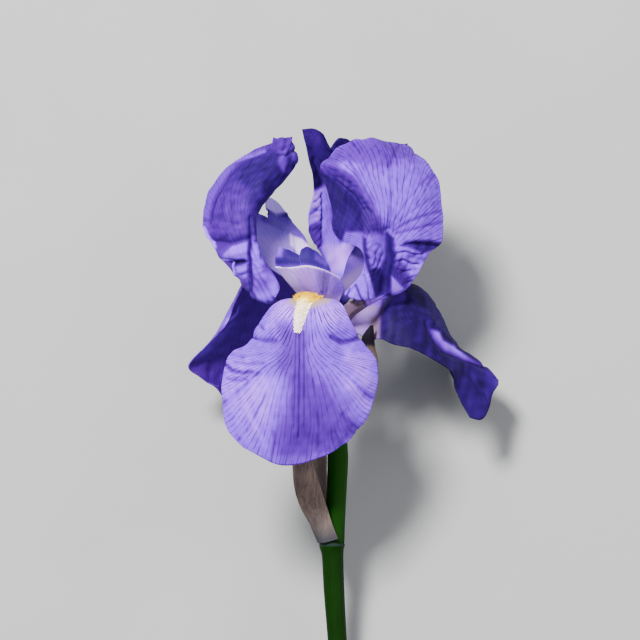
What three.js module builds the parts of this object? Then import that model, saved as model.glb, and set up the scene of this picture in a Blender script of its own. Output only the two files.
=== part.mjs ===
// A cut bearded iris flower on its stem, lying on its back on a flat surface.
//
// The flower is drawn in its own frame: X to the right, Y along the stem from the cut end towards the
// flower, Z up out of the face of the front fall. At the end the whole flower is tipped by LYING_PITCH
// and LYING_ROLL, so that its cut end and its two back falls touch the ground.
// A bearded iris has three falls (hanging outer petals), three standards (upright inner petals) and three
// style arms, set in turn around the top of the perianth tube. Sizes are in millimetres.

import * as THREE from 'three';

// ---- driving dimensions ----
const PETAL_THICKNESS = 0.9;
const STYLE_THICKNESS = 0.9;
const BRACT_THICKNESS = 0.7;
const SEAT_GAP = 0.6;
const EDGE_HEIGHT = 0.25;

const LYING_PITCH = 16.7;
const LYING_ROLL = 8.8;

const TUBE_CENTRE_X = 3.5;
const TUBE_TOP = -3.3;
const TUBE_TOP_RADIUS = 5.8;
const PETAL_BASE_Y = -2.2;
const PETAL_RING_RADIUS = 4.7;
const STYLE_RING_RADIUS = 1.95;
const FILAMENT_RING_RADIUS = 3.3;

const OVARY_CENTRE = [5.2, -27, 0];
const OVARY_HALF_LENGTH = 10.5;
const OVARY_RADIUS = 4.6;

const STEM_TOP_Y = -38;
const STEM_NODE_Y = -78.4;

// Directions of the organs around the tube, in degrees from +Z towards +X.
const FRONT_FALL_AZIMUTH = -20;
const RIGHT_FALL_AZIMUTH = 100;
const LEFT_FALL_AZIMUTH = -140;
const LEFT_STANDARD_AZIMUTH = -80;
const RIGHT_STANDARD_AZIMUTH = 40;
const BACK_STANDARD_AZIMUTH = 160;
const FALL_HALF_ANGLE = 25;
const STANDARD_HALF_ANGLE = 23;
const STYLE_HALF_ANGLE = 34;

// ---- geometry helpers ----
const point = (coordinates) => new THREE.Vector3(...coordinates);

// A point on a ring around the top of the perianth tube.
function ringPoint(azimuth, radius, y) {
  const angle = THREE.MathUtils.degToRad(azimuth);
  return [TUBE_CENTRE_X + radius * Math.sin(angle), y, radius * Math.cos(angle)];
}

// The first rib of a petal: a short arc on that ring.
function baseRib(azimuth, halfAngle, radius) {
  return [-1, -0.5, 0, 0.5, 1].map((s) => ringPoint(azimuth + s * halfAngle, radius, PETAL_BASE_Y));
}

// A geometry from a list of vertices and faces. Each face is a list of vertex numbers.
function closedGeometry(vertices, faces) {
  const geometry = new THREE.BufferGeometry();
  geometry.setAttribute('position', new THREE.Float32BufferAttribute(vertices.flatMap((v) => v.toArray()), 3));
  const triangles = faces.flatMap((f) => (f.length === 4 ? [f[0], f[1], f[2], f[0], f[2], f[3]] : f));
  geometry.setIndex(triangles);
  geometry.computeVertexNormals();
  return geometry;
}

// A smooth curve through hand-placed points.
const smoothCurve = (points) => new THREE.CatmullRomCurve3(points, false, 'catmullrom', 0.5);

// The smooth surface through a list of ribs, base first, as two functions of u along it and v across it.
// The ribs run in the direction of rising azimuth, so the normal points out of the petal's lower face.
function surface(ribs) {
  const ribCurves = ribs.map((rib) => smoothCurve(rib.map(point)));
  const at = (u, v) => smoothCurve(ribCurves.map((curve) => curve.getPoint(v))).getPoint(u);
  const step = 0.004;
  const normal = (u, v) => {
    const lengthwise = at(Math.min(u + step, 1), v).sub(at(Math.max(u - step, 0), v));
    const crosswise = at(u, Math.min(v + step, 1)).sub(at(u, Math.max(v - step, 0)));
    return crosswise.cross(lengthwise).normalize();
  };
  return { at, normal };
}

// A closed body between two layers of points on the same grid of rows and columns.
function layeredBody(lower, upper, rows, columns) {
  const size = rows * columns;
  const faces = [];
  const index = (i, j) => i * columns + j;
  for (let i = 0; i < rows - 1; i += 1) {
    for (let j = 0; j < columns - 1; j += 1) {
      faces.push([index(i, j), index(i, j + 1), index(i + 1, j + 1), index(i + 1, j)]);
      faces.push([index(i + 1, j), index(i + 1, j + 1), index(i, j + 1), index(i, j)].map((k) => k + size));
    }
  }
  const border = [];
  for (let j = 0; j < columns - 1; j += 1) border.push(index(0, j));
  for (let i = 0; i < rows - 1; i += 1) border.push(index(i, columns - 1));
  for (let j = columns - 1; j > 0; j -= 1) border.push(index(rows - 1, j));
  for (let i = rows - 1; i > 0; i -= 1) border.push(index(i, 0));
  border.forEach((start, k) => {
    const end = border[(k + 1) % border.length];
    faces.push([end, start, start + size, end + size]);
  });
  return closedGeometry([...lower, ...upper], faces);
}

// A sheet of even thickness along that surface.
function sheet(ribs, thickness, rows, columns) {
  const { at, normal } = surface(ribs);
  const lower = [];
  const upper = [];
  for (let i = 0; i < rows; i += 1) {
    for (let j = 0; j < columns; j += 1) {
      const u = i / (rows - 1);
      const v = j / (columns - 1);
      const offset = normal(u, v).multiplyScalar(thickness / 2);
      lower.push(at(u, v).add(offset));
      upper.push(at(u, v).sub(offset));
    }
  }
  return layeredBody(lower, upper, rows, columns);
}

// A low mound seated on the upper face of a petal, along its middle. Each station is
// [u, middle v, half width in v, height].
function mound(ribs, stations, columns) {
  const { at, normal } = surface(ribs);
  const lower = [];
  const upper = [];
  for (const [u, middle, halfWidth, height] of stations) {
    for (let j = 0; j < columns; j += 1) {
      const s = (2 * j) / (columns - 1) - 1;
      const v = middle + s * halfWidth;
      const seat = PETAL_THICKNESS / 2 + SEAT_GAP;
      const top = seat + EDGE_HEIGHT + height * (1 - s * s);
      lower.push(at(u, v).addScaledVector(normal(u, v), -seat));
      upper.push(at(u, v).addScaledVector(normal(u, v), -top));
    }
  }
  return layeredBody(lower, upper, stations.length, columns);
}

// A closed tube along a smooth path. Each station is [x, y, z, half width, half height]; the half
// height is measured along the given up direction.
function tube(stations, sides, steps, upDirection = [0, 0, 1]) {
  const path = smoothCurve(stations.map((s) => point(s.slice(0, 3))));
  const sizePath = smoothCurve(stations.map((s) => new THREE.Vector3(s[3], s[4] ?? s[3], 0)));
  const fractions = Array.from({ length: steps }, (_, i) => i / (steps - 1));
  const centres = fractions.map((t) => path.getPoint(t));
  const sizes = fractions.map((t) => sizePath.getPoint(t));
  const up = point(upDirection);
  const vertices = [];
  const faces = [];
  centres.forEach((centre, i) => {
    const next = centres[Math.min(i + 1, steps - 1)];
    const previous = centres[Math.max(i - 1, 0)];
    const forward = next.clone().sub(previous).normalize();
    const side = forward.clone().cross(up).normalize();
    const lift = side.clone().cross(forward);
    for (let k = 0; k < sides; k += 1) {
      const turn = (2 * Math.PI * k) / sides;
      const rim = centre.clone();
      rim.addScaledVector(side, sizes[i].x * Math.cos(turn));
      rim.addScaledVector(lift, sizes[i].y * Math.sin(turn));
      vertices.push(rim);
    }
  });
  for (let i = 0; i < steps - 1; i += 1) {
    for (let k = 0; k < sides; k += 1) {
      const next = (k + 1) % sides;
      faces.push([i * sides + k, (i + 1) * sides + k, (i + 1) * sides + next, i * sides + next]);
    }
  }
  const first = vertices.push(centres[0].clone()) - 1;
  const last = vertices.push(centres[steps - 1].clone()) - 1;
  for (let k = 0; k < sides; k += 1) {
    const next = (k + 1) % sides;
    faces.push([first, k, next]);
    faces.push([last, (steps - 1) * sides + next, (steps - 1) * sides + k]);
  }
  return closedGeometry(vertices, faces);
}

// ---- materials ----
const matte = (color, roughness) => new THREE.MeshStandardMaterial({ color, roughness, metalness: 0 });
const fallMaterial = matte(0x9c88d8, 0.6);
const standardMaterial = matte(0x7a66c8, 0.6);
const styleMaterial = matte(0x8d82c8, 0.55);
const beardMaterial = matte(0xf0dc9c, 0.9);
const antherMaterial = matte(0xe8e0c8, 0.8);
const filamentMaterial = matte(0xd8d0e6, 0.6);
const tubeMaterial = matte(0x6b7040, 0.55);
const stemMaterial = matte(0x2c4f22, 0.5);
const bractMaterial = matte(0x7a675c, 0.8);

const flower = new THREE.Group();

function add(name, geometry, material) {
  const mesh = new THREE.Mesh(geometry, material);
  mesh.name = name;
  flower.add(mesh);
}

// ---- stem, ovary and perianth tube ----
function addStem() {
  const stations = [
    [8.5, -150, 0, 3.5],
    [7.4, -132, 0, 3.4],
    [6, -112, 0, 3.4],
    [4.9, -95, 0, 3.6],
    [4.4, -83, 0, 3.8],
    [4.2, STEM_NODE_Y, 0, 4.5],
    [4.9, -74.5, 0, 3.7],
    [5.8, -60, 0, 3.5],
    [6.2, -48, 0, 3.6],
    [5.7, STEM_TOP_Y, 0, 3.4],
  ];
  add('stem', tube(stations, 14, 22), stemMaterial);
}

function addOvary() {
  const profile = [];
  for (let i = 0; i <= 8; i += 1) {
    const angle = (Math.PI * i) / 8 - Math.PI / 2;
    profile.push(new THREE.Vector2(OVARY_RADIUS * Math.cos(angle), OVARY_HALF_LENGTH * Math.sin(angle)));
  }
  profile[0].x = 0;
  profile[8].x = 0;
  const geometry = new THREE.LatheGeometry(profile, 12);
  geometry.translate(...OVARY_CENTRE);
  add('ovary', geometry, tubeMaterial);
}

function addPerianthTube() {
  const stations = [
    [4.8, -16.2, 0, 2.2],
    [4.3, -12, 0, 2.9],
    [3.8, -7, 0, 4],
    [TUBE_CENTRE_X, TUBE_TOP, 0, TUBE_TOP_RADIUS],
  ];
  add('perianth_tube', tube(stations, 12, 7), tubeMaterial);
}

// ---- falls ----
const fallBase = (azimuth) => baseRib(azimuth, FALL_HALF_ANGLE, PETAL_RING_RADIUS);

const frontFallRibs = [
  fallBase(FRONT_FALL_AZIMUTH),
  [[-3.2, 3.8, 8.8], [0.2, 1.6, 9.8], [4, 3.8, 11.4]],
  [[-7.9, 7, 14.2], [-2.3, 5.4, 16.2], [3.4, 7, 17.8]],
  [[-12.8, 6.9, 17.5], [-8, 7.4, 19.4], [-3.7, 6.7, 20.5], [1, 7.4, 21.4], [5.8, 6.7, 21.4]],
  [[-17.4, 4.1, 20.3], [-11, 4.4, 24], [-5, 3.4, 25.4], [1.6, 4.4, 25.8], [8.4, 4.2, 23.6]],
  [[-21.6, -2.6, 22], [-14, -2.6, 26.6], [-6.2, -3.6, 28.4], [2.4, -2.6, 28.4], [11.8, -3, 24.8]],
  [[-24.8, -8.9, 23.4], [-16.1, -9, 28], [-6.8, -10, 29.4], [3.6, -9, 29.2], [16, -9, 25]],
  [[-30.2, -10.8, 23], [-18.2, -13.2, 28.3], [-7, -14.4, 29.8], [5.2, -13.4, 29.2], [18.6, -12.2, 24.8]],
  [[-33, -15.6, 23], [-20, -17.6, 28.4], [-7.2, -18.6, 30], [6.6, -17.6, 29], [19.9, -15.8, 24.4]],
  [[-34.2, -25.6, 23], [-21, -27.4, 28.8], [-7.5, -28.4, 30.4], [6.8, -27.2, 29], [19.9, -24.6, 24]],
  [[-32.4, -37.2, 24.4], [-19.9, -38.8, 29], [-7.8, -39.2, 30.2], [4.8, -37.6, 28.6], [16.4, -34.2, 24.4]],
  [[-26.4, -44.3, 26], [-18.2, -48.5, 27.6], [-10.2, -50.5, 28], [1, -47, 26.8], [9.6, -42.2, 25.4]],
];

const rightFallRibs = [
  fallBase(RIGHT_FALL_AZIMUTH),
  [[12.2, -4.2, 1], [12.6, 0.2, -1.6], [11.8, 6.4, -5.4]],
  [[17.4, -6.8, 1.4], [18.6, 2, -2.6], [18, 10.6, -9.4]],
  [[21, -6.6, 5.4], [22.4, 2.4, 2.6], [24.8, 9, -4.2], [26, 10.6, -10.6], [26, 10, -17]],
  [[24.6, -7.8, 8.6], [27.6, 2, 4], [31.2, 12.6, -7.4], [33, 9, -18], [32.6, 1, -27]],
  [[32.6, -9.8, 8.6], [35, -2.5, 4], [38.2, 8.6, -10.4], [40.4, 1.6, -24], [38.4, -7.6, -34]],
  [[39.8, -13.4, 6], [40.6, -7.5, 1.5], [42.8, 1, -12], [45, -6.5, -26], [42.6, -13, -37.4]],
  [[46.4, -18.8, 3], [46.4, -14, -1.5], [47.8, -8.6, -13], [49, -13, -26], [46.6, -17.4, -37]],
  [[49.2, -25.4, 0.4], [51.8, -20.4, -4], [57, -15.5, -12.6], [55, -18.5, -24], [50.4, -24.4, -32.6]],
  [
    [52.4, -34.2, -1.6], [56.2, -35.2, -4], [59, -31.6, -6.4], [60.4, -26.6, -8],
    [63, -21.6, -10], [60.8, -22.6, -15], [58.4, -26.6, -20], [54.6, -30, -25],
  ],
];

const leftFallRibs = [
  fallBase(LEFT_FALL_AZIMUTH),
  [[-0.5, 5, -10.4], [-3.6, 4.4, -7.8], [-5.6, 6.4, -4.6]],
  [[-4, 12.4, -18], [-9, 11.6, -14.4], [-12.6, 14.6, -9.6]],
  [[-7.4, 15, -26.6], [-11.4, 17.4, -24], [-15.6, 18, -20.4], [-18.2, 19.6, -17], [-20.6, 22.6, -14]],
  [[-7, 8.6, -34.4], [-13.6, 14.6, -31], [-20.4, 17.4, -26], [-24.6, 16.6, -20.6], [-27, 12.6, -16.4]],
  [[-7, -1, -41], [-15.6, 6, -37.6], [-24.4, 9.4, -31.6], [-29.6, 8, -24.6], [-32.2, 0.4, -18.6]],
  [[-7.6, -10.6, -44.4], [-17.4, -3.6, -41], [-27, -1, -35], [-34.6, -2.6, -28], [-40.2, -8.8, -21.6]],
  [[-9.4, -19.6, -44.8], [-18.4, -14.4, -42], [-28.2, -12, -37.4], [-37.6, -12, -30], [-47, -16, -24.4]],
  [[-13, -28, -43], [-20, -25, -41], [-28.6, -23.2, -37.4], [-36, -21, -32], [-42.8, -20.6, -27.2]],
  [[-18, -32.6, -40.4], [-22.6, -33, -39], [-27.6, -32.2, -36.8], [-32, -29.2, -34.4], [-36.8, -25.2, -31]],
];

// ---- standards ----
const standardBase = (azimuth) => baseRib(azimuth, STANDARD_HALF_ANGLE, PETAL_RING_RADIUS);

const leftStandardRibs = [
  standardBase(LEFT_STANDARD_AZIMUTH),
  [[-5.8, 3.4, 1], [-6.4, 2.8, 3.2], [-6, 3.4, 5.4]],
  [[-15.4, 7, 3.4], [-16, 5.8, 6.4], [-14.4, 6.6, 9.4]],
  [[-25.4, 10.6, 8.4], [-24.8, 9.4, 10.4], [-23.6, 8.2, 12], [-19.6, 6.8, 13.6], [-15.6, 7.6, 14]],
  [[-28.6, 15.4, 8], [-26.8, 15.6, 10.8], [-24.7, 15.6, 11.6], [-20.4, 14, 14.4], [-14, 11.8, 14]],
  [[-34.4, 21.8, 6.6], [-29.8, 22.4, 10.8], [-24.6, 22.6, 11.8], [-21.4, 21.4, 14], [-18.4, 18.6, 12]],
  [[-39.6, 30.6, 3], [-32.6, 30.6, 9.8], [-24.4, 30.8, 11.6], [-22.6, 29.8, 9.4], [-22.6, 29, 4.4]],
  [[-39.4, 40.4, -0.6], [-32.4, 40, 7.4], [-24.4, 39.4, 10], [-21.2, 38.6, 5.4], [-22, 38, -1]],
  [[-35, 49.8, -4], [-28.4, 48.6, 3.8], [-20.8, 46.8, 6.6], [-16.4, 45.4, 2], [-17, 45, -5]],
  [[-25.8, 56.6, -6.6], [-20, 55.2, 0.4], [-14.6, 53.2, 3], [-10.6, 51.8, -1], [-10.6, 52, -7]],
  [[-17, 60.6, -7], [-14, 60, -3.4], [-11.4, 59, -2], [-9, 57.4, -3.6], [-7.8, 56.4, -7]],
  [[-15.4, 63.4, -9], [-12.6, 64.2, -7.4], [-9.8, 64.4, -6.4], [-9.4, 62, -7], [-8.8, 60.2, -9]],
];

const rightStandardRibs = [
  standardBase(RIGHT_STANDARD_AZIMUTH),
  [[8, 4.8, 7.6], [10.6, 2.4, 6.2], [12.2, 1.8, 3.8]],
  [[14, 7.8, 9.8], [17.4, 6.6, 8.6], [20.6, 7, 6.6]],
  [[8.4, 9, 12.4], [15, 7.4, 12.4], [21.6, 9.6, 8.4], [25.2, 10.4, 8.6], [29.6, 10.4, 6.6]],
  [[14.6, 16.4, 12], [18, 16.6, 12], [21.8, 17, 8.8], [26, 16.6, 10.4], [34.4, 16.8, 8]],
  [[14.4, 24.6, 11], [18, 24.4, 12.6], [22.3, 24.4, 9.6], [28.6, 23.4, 12.4], [38, 23.6, 8.4]],
  [[5.2, 29.4, 1.6], [15.4, 31.4, 11.4], [23, 31, 10.8], [32.6, 30, 13], [42.2, 26.4, 6.6]],
  [[4.4, 38.4, -5], [13.6, 40.6, 9], [23.8, 40, 13.6], [34, 38.6, 12.8], [42.8, 36, 4.4]],
  [[2.2, 47, -6.4], [11, 49.4, 6.4], [22.4, 49.8, 12.6], [33.4, 48, 10.2], [42.2, 46.2, 1]],
  [[0.2, 53.8, -5], [10.4, 56.4, 2.4], [20.8, 57.8, 7.4], [30.6, 56.6, 4.6], [38.2, 54, -2.4]],
  [[3, 57.2, -6.4], [9.6, 62.4, -3], [17.4, 63.6, -1.6], [25.6, 62.4, -3.4], [32, 59.8, -7.6]],
];

const backStandardRibs = [
  standardBase(BACK_STANDARD_AZIMUTH),
  [[7.6, 5, -8.4], [5.4, 5, -9], [3.2, 5, -8.2]],
  [[9.6, 13, -11.4], [6, 13, -12.6], [2.4, 13, -11]],
  [[14, 21, -13], [10, 21, -15], [6.6, 21, -15.4], [3.6, 21, -14.2], [1.2, 21, -12.2]],
  [[18, 29, -14], [13, 29, -17.4], [7.6, 28.6, -18.4], [2, 28.6, -16.4], [-2.8, 29, -12.8]],
  [[22.6, 37.6, -14.6], [16, 38, -19.6], [8.4, 37.6, -21.4], [2, 37.6, -18.8], [-4, 38, -14.2]],
  [[26.8, 46.6, -14.6], [19, 47, -20.6], [10, 47, -23], [3, 46.8, -20.6], [-2.2, 46, -17.4]],
  [[30.4, 56, -13.4], [21, 57, -19.6], [11, 57, -22.4], [2.6, 57, -20], [-4, 57, -17]],
  [
    [30.6, 61.8, -11], [21, 61, -16], [12.4, 61.4, -19], [6.8, 64.6, -18.8],
    [3.6, 60.4, -18], [1.4, 65.2, -17], [-2, 67.4, -15.6], [-6.2, 67.2, -14],
  ],
];

// ---- style arms ----
const styleBase = (azimuth) => baseRib(azimuth, STYLE_HALF_ANGLE, STYLE_RING_RADIUS);

const frontStyleRibs = [
  styleBase(FRONT_FALL_AZIMUTH),
  [[-0.6, 3.1, 5], [2.2, 3, 5.4], [5, 3.1, 6.2]],
  [[-5, 7, 8.4], [0.9, 6, 9.8], [6.8, 7, 9.8]],
  [[-9.6, 11.8, 10.2], [-5, 11, 13.4], [-1, 10.4, 14], [3.4, 10.6, 13.4], [8.2, 10.6, 10.6]],
  [[-14.6, 18, 11.8], [-9.8, 18, 15.6], [-3.6, 17.6, 16.8], [1.8, 16.6, 15.6], [7, 14.2, 12]],
  [[-15.2, 20.4, 12.4], [-10.8, 21, 16.4], [-4.4, 19.6, 17.6], [1.2, 18.8, 16.2], [5.4, 16.2, 12.2]],
  [[-14.2, 24.2, 11.4], [-10.8, 24.6, 14.6], [-6, 22.6, 15.6], [-1.2, 23.2, 14.8], [2.8, 20, 11.6]],
  [[-12.2, 25.8, 9.6], [-9.8, 26.8, 12], [-6.4, 24.6, 12.6], [-3, 25.2, 12], [0.4, 22.6, 9.8]],
];

const rightStyleRibs = [
  styleBase(RIGHT_FALL_AZIMUTH),
  [[8.2, 4.6, 1.4], [7.6, 5, -0.8], [6.6, 5.8, -3]],
  [[12.4, 10.4, 2.4], [10.6, 11.6, -1.6], [7.8, 13, -5]],
  [[16.2, 16.6, 1.6], [13.6, 18.2, -2.8], [9.4, 20.2, -6]],
  [[18.2, 22, 0.6], [15.8, 23.8, -3.4], [12.2, 25, -6.4]],
  [[19, 27, -0.6], [17.4, 28.2, -4.2], [14.6, 28.6, -7.2]],
  [[18, 31.4, -3], [17.4, 31.8, -5.4], [16, 31.6, -7.6]],
];

const leftStyleRibs = [
  styleBase(LEFT_FALL_AZIMUTH),
  [[1.6, 7, -6.4], [-1.8, 7.4, -5.4], [-3.4, 6.8, -2.2]],
  [[-1, 15, -11.4], [-6, 15.4, -9.6], [-11.6, 14.4, -4.6]],
  [[-2.6, 22.6, -14.6], [-10.6, 23.2, -13.4], [-19.6, 20.2, -7]],
  [[-5.2, 29, -17.2], [-13.4, 30.2, -15.8], [-24, 28.4, -9]],
  [[-8.4, 33, -17.4], [-14.8, 33.6, -16], [-24, 33, -10]],
  [[-11.2, 36.2, -16.4], [-12.6, 38.8, -15.4], [-15, 41.6, -14.2], [-18, 43, -13.2], [-19.4, 41, -12.6]],
];

// ---- beards, filaments and anthers ----
const frontBeard = [
  [0.2, 0.48, 0.1, 0.3],
  [0.25, 0.475, 0.2, 1.6],
  [0.29, 0.47, 0.22, 2.1],
  [0.33, 0.455, 0.14, 1.9],
  [0.38, 0.455, 0.11, 1.8],
  [0.43, 0.455, 0.08, 1.5],
  [0.475, 0.455, 0.04, 0.5],
];

const rightBeard = [
  [0.09, 0.8, 0.08, 0.3],
  [0.12, 0.8, 0.12, 1.2],
  [0.16, 0.82, 0.12, 1.5],
  [0.2, 0.83, 0.1, 1.5],
  [0.24, 0.84, 0.08, 1.2],
  [0.27, 0.85, 0.05, 0.5],
];

const leftBeard = [
  [0.24, 0.5, 0.1, 0.3],
  [0.3, 0.5, 0.16, 1.5],
  [0.37, 0.5, 0.15, 1.8],
  [0.44, 0.5, 0.12, 1.8],
  [0.51, 0.5, 0.09, 1.4],
  [0.57, 0.5, 0.05, 0.5],
];

const filamentStart = (azimuth) => [...ringPoint(azimuth, FILAMENT_RING_RADIUS, PETAL_BASE_Y), 0.6];

const stamens = {
  front: {
    filament: [filamentStart(FRONT_FALL_AZIMUTH), [1.75, 0.1, 4.9, 0.5], [0.9, 2.2, 7.8, 0.45]],
    anther: [[0.8, 2.4, 8.15, 0.4, 0.35], [-0.1, 4.8, 11, 1.1, 0.7], [-1, 6.5, 13.2, 0.4, 0.35]],
  },
  right: {
    filament: [filamentStart(RIGHT_FALL_AZIMUTH), [8.6, 1, -1, 0.5], [10.4, 3.8, -1.4, 0.45]],
    anther: [[10.7, 4.2, -1.45, 0.4, 0.35], [12.6, 7.2, -2, 1.1, 0.7], [14.6, 10, -2.6, 0.4, 0.35]],
  },
  left: {
    filament: [filamentStart(LEFT_FALL_AZIMUTH), [-0.4, 1.8, -4.4, 0.5], [-2.5, 5.4, -6.6, 0.45]],
    anther: [[-2.7, 5.8, -6.8, 0.4, 0.35], [-4.8, 9, -9, 1.1, 0.7], [-6.8, 12, -11.4, 0.4, 0.35]],
  },
};

// ---- bracts ----
const sideBractRibs = [
  [[6, -77.6, -5.2], [0.7, -78, -3.7], [-0.7, -78, 0.4], [1.6, -78, 4.6], [6.4, -76.6, 5.4]],
  [[5.4, -71.4, -6], [-1.4, -71.6, -4], [-3.4, -71.8, 1.2], [0.2, -71.8, 5.4], [4.4, -71.6, 5.8]],
  [[3, -63, -6.6], [-4.6, -63, -4], [-7.6, -63, 1.4], [-3, -63, 6], [1.6, -63, 6.4]],
  [[2.4, -54, -6.6], [-6.2, -54, -4], [-9.4, -54, 1], [-5.4, -54, 5.8], [-1.4, -54, 6.6]],
  [[2.2, -46, -5.6], [-5.8, -46, -3.6], [-9.6, -46, 0.4], [-6.8, -46, 4.6], [-4, -46, 5.4]],
  [[-1, -39, -2.6], [-5, -39, -1.8], [-7, -39, 0], [-6.2, -39, 1.8], [-5, -39, 2.4]],
];

const rightSpatheRibs = [
  [[6.2, -41.4, 4.9], [9.9, -41.4, 3.4], [11, -41.4, 0], [9.9, -41.4, -3.6], [6.2, -41.4, -4.9]],
  [[7.4, -35, 7.2], [12, -35, 5.6], [14, -35, 0], [12.2, -35, -5], [7.4, -35, -6.8]],
  [[10.6, -26.4, 8.4], [15.6, -26.4, 6.2], [18, -26.6, 0.6], [15.6, -26.4, -4.6], [11, -26.4, -6.6]],
  [[13.4, -17.4, 8.2], [18, -17.4, 6.2], [20.4, -17.6, 1.6], [18.4, -17.4, -2.6], [14.4, -17.4, -4.4]],
  [[14, -9.4, 8.6], [17.2, -9.4, 7.4], [19.2, -9.4, 4.6], [17.8, -9.4, 2.2], [15, -9.4, 1.4]],
  [[15, -5.4, 8.4], [17.2, -5.2, 7.8], [18.9, -5.2, 6], [18, -5.2, 4.6], [16, -5.4, 4.2]],
  [[17.6, -2, 6.8], [18, -1.8, 6.6], [18.4, -1.8, 6.2], [18.2, -1.8, 5.8], [17.8, -2, 5.6]],
];

const leftSpatheRibs = [
  [[5.4, -40, -4.9], [2, -40, -3.6], [0.9, -40, 0], [2, -40, 3.6], [5.2, -40, 4.9]],
  [[4.6, -34, -7.6], [-0.6, -34, -5.4], [-2.6, -34, 0], [-0.8, -34, 5], [4, -34, 7]],
  [[3.4, -25, -8.6], [-3, -25.2, -6.2], [-6, -25.4, -0.4], [-3.4, -25.2, 4.6], [2, -25, 6.8]],
  [[1.6, -16, -8], [-4, -16, -6], [-6.6, -16, -1], [-4.6, -16, 3], [0, -16, 4.8]],
  [[-2, -9, -4.8], [-4.4, -9, -3.6], [-5.4, -9, -1.4], [-4.6, -9, 0.6], [-2.4, -9, 1.4]],
];

// ---- assembly ----
function addPetals() {
  add('front_fall', sheet(frontFallRibs, PETAL_THICKNESS, 19, 11), fallMaterial);
  add('right_fall', sheet(rightFallRibs, PETAL_THICKNESS, 18, 11), fallMaterial);
  add('left_fall', sheet(leftFallRibs, PETAL_THICKNESS, 18, 11), fallMaterial);
  add('left_standard', sheet(leftStandardRibs, PETAL_THICKNESS, 20, 11), standardMaterial);
  add('right_standard', sheet(rightStandardRibs, PETAL_THICKNESS, 20, 11), standardMaterial);
  add('back_standard', sheet(backStandardRibs, PETAL_THICKNESS, 17, 11), standardMaterial);
}

function addStyleArms() {
  add('front_style_arm', sheet(frontStyleRibs, STYLE_THICKNESS, 12, 9), styleMaterial);
  add('right_style_arm', sheet(rightStyleRibs, STYLE_THICKNESS, 12, 7), styleMaterial);
  add('left_style_arm', sheet(leftStyleRibs, STYLE_THICKNESS, 12, 7), styleMaterial);
}

function addBeards() {
  add('front_beard', mound(frontFallRibs, frontBeard, 7), beardMaterial);
  add('right_beard', mound(rightFallRibs, rightBeard, 7), beardMaterial);
  add('left_beard', mound(leftFallRibs, leftBeard, 7), beardMaterial);
}

function addStamens() {
  for (const [side, stamen] of Object.entries(stamens)) {
    add(`${side}_filament`, tube(stamen.filament, 6, 6, [0.1, 1, 0.2]), filamentMaterial);
    add(`${side}_anther`, tube(stamen.anther, 8, 7, [0.1, 1, 0.2]), antherMaterial);
  }
}

function addBracts() {
  add('side_bract', sheet(sideBractRibs, BRACT_THICKNESS, 11, 10), bractMaterial);
  add('right_spathe_valve', sheet(rightSpatheRibs, BRACT_THICKNESS, 11, 9), bractMaterial);
  add('left_spathe_valve', sheet(leftSpatheRibs, BRACT_THICKNESS, 10, 9), bractMaterial);
}

addStem();
addOvary();
addPerianthTube();
addPetals();
addStyleArms();
addBeards();
addStamens();
addBracts();

// ---- lying pose: tipped, then moved so that its box stands on the ground, centred on the origin ----
flower.rotation.set(THREE.MathUtils.degToRad(LYING_PITCH), 0, 0);
const lying = new THREE.Group();
lying.rotation.set(0, THREE.MathUtils.degToRad(LYING_ROLL), 0);
lying.add(flower);
const group = new THREE.Group();
group.add(lying);
group.updateMatrixWorld(true);
const box = new THREE.Box3().setFromObject(group, true);
lying.position.set(-(box.min.x + box.max.x) / 2, -(box.min.y + box.max.y) / 2, -box.min.z);

export default group;
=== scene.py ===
# %% [markdown]
# # A cut bearded iris, lying on its back
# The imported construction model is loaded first. It is a fixed frame: every petal and bract made here lies
# where its plain solid lies, and replaces it. Petals are free shapes, so each is a smooth sheet drawn
# through a few ribs, then ruffled, creased and coloured by small functions of its own.

# %% Load the frame
import math

import bmesh
import bpy
import numpy as np
from mathutils import Matrix, Vector


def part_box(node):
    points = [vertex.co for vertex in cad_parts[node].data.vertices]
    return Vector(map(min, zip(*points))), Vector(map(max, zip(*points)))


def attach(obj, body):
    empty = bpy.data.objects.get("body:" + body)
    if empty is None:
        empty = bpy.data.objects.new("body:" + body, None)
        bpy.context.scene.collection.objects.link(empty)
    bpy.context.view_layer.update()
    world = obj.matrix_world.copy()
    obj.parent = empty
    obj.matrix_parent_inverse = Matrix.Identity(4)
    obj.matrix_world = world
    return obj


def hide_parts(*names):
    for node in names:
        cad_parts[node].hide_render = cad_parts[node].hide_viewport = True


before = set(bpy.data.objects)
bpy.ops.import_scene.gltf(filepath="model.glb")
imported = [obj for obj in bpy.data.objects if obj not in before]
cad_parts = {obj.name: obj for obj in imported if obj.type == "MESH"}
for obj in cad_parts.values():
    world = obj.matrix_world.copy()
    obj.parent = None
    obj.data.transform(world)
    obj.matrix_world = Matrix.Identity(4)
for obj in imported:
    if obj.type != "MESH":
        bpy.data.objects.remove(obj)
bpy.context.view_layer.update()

# %% [markdown]
# ## The flower's own frame
# All ribs are given in millimetres in the flower's own frame: X to the right, Y along the stem towards the
# flower, Z up out of the front petal's face. The flower lies tipped by two angles. Its place comes from the
# ovary, which is the same shape either way round, so the centre of its box is its own centre.

# %% Flower frame to world
MM = 0.001
TINY = 1e-6
LYING_PITCH = math.radians(16.7)
LYING_ROLL = math.radians(8.8)
OVARY_CENTRE = Vector((5.2, -27.0, 0.0)) * MM

lying_turn = Matrix.Rotation(LYING_ROLL, 3, "Y") @ Matrix.Rotation(LYING_PITCH, 3, "X")
ovary_low, ovary_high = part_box("ovary")
flower_origin = (ovary_low + ovary_high) / 2 - lying_turn @ OVARY_CENTRE
flower_to_world = Matrix.Translation(flower_origin) @ lying_turn.to_4x4()
print("flower origin (m):", [round(v, 4) for v in flower_origin])

# %% [markdown]
# ## Camera
# The flower is seen square on to its front petal, from above because it lies down. A long lens from more
# than two metres away keeps the near petals from looking too large.

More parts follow.
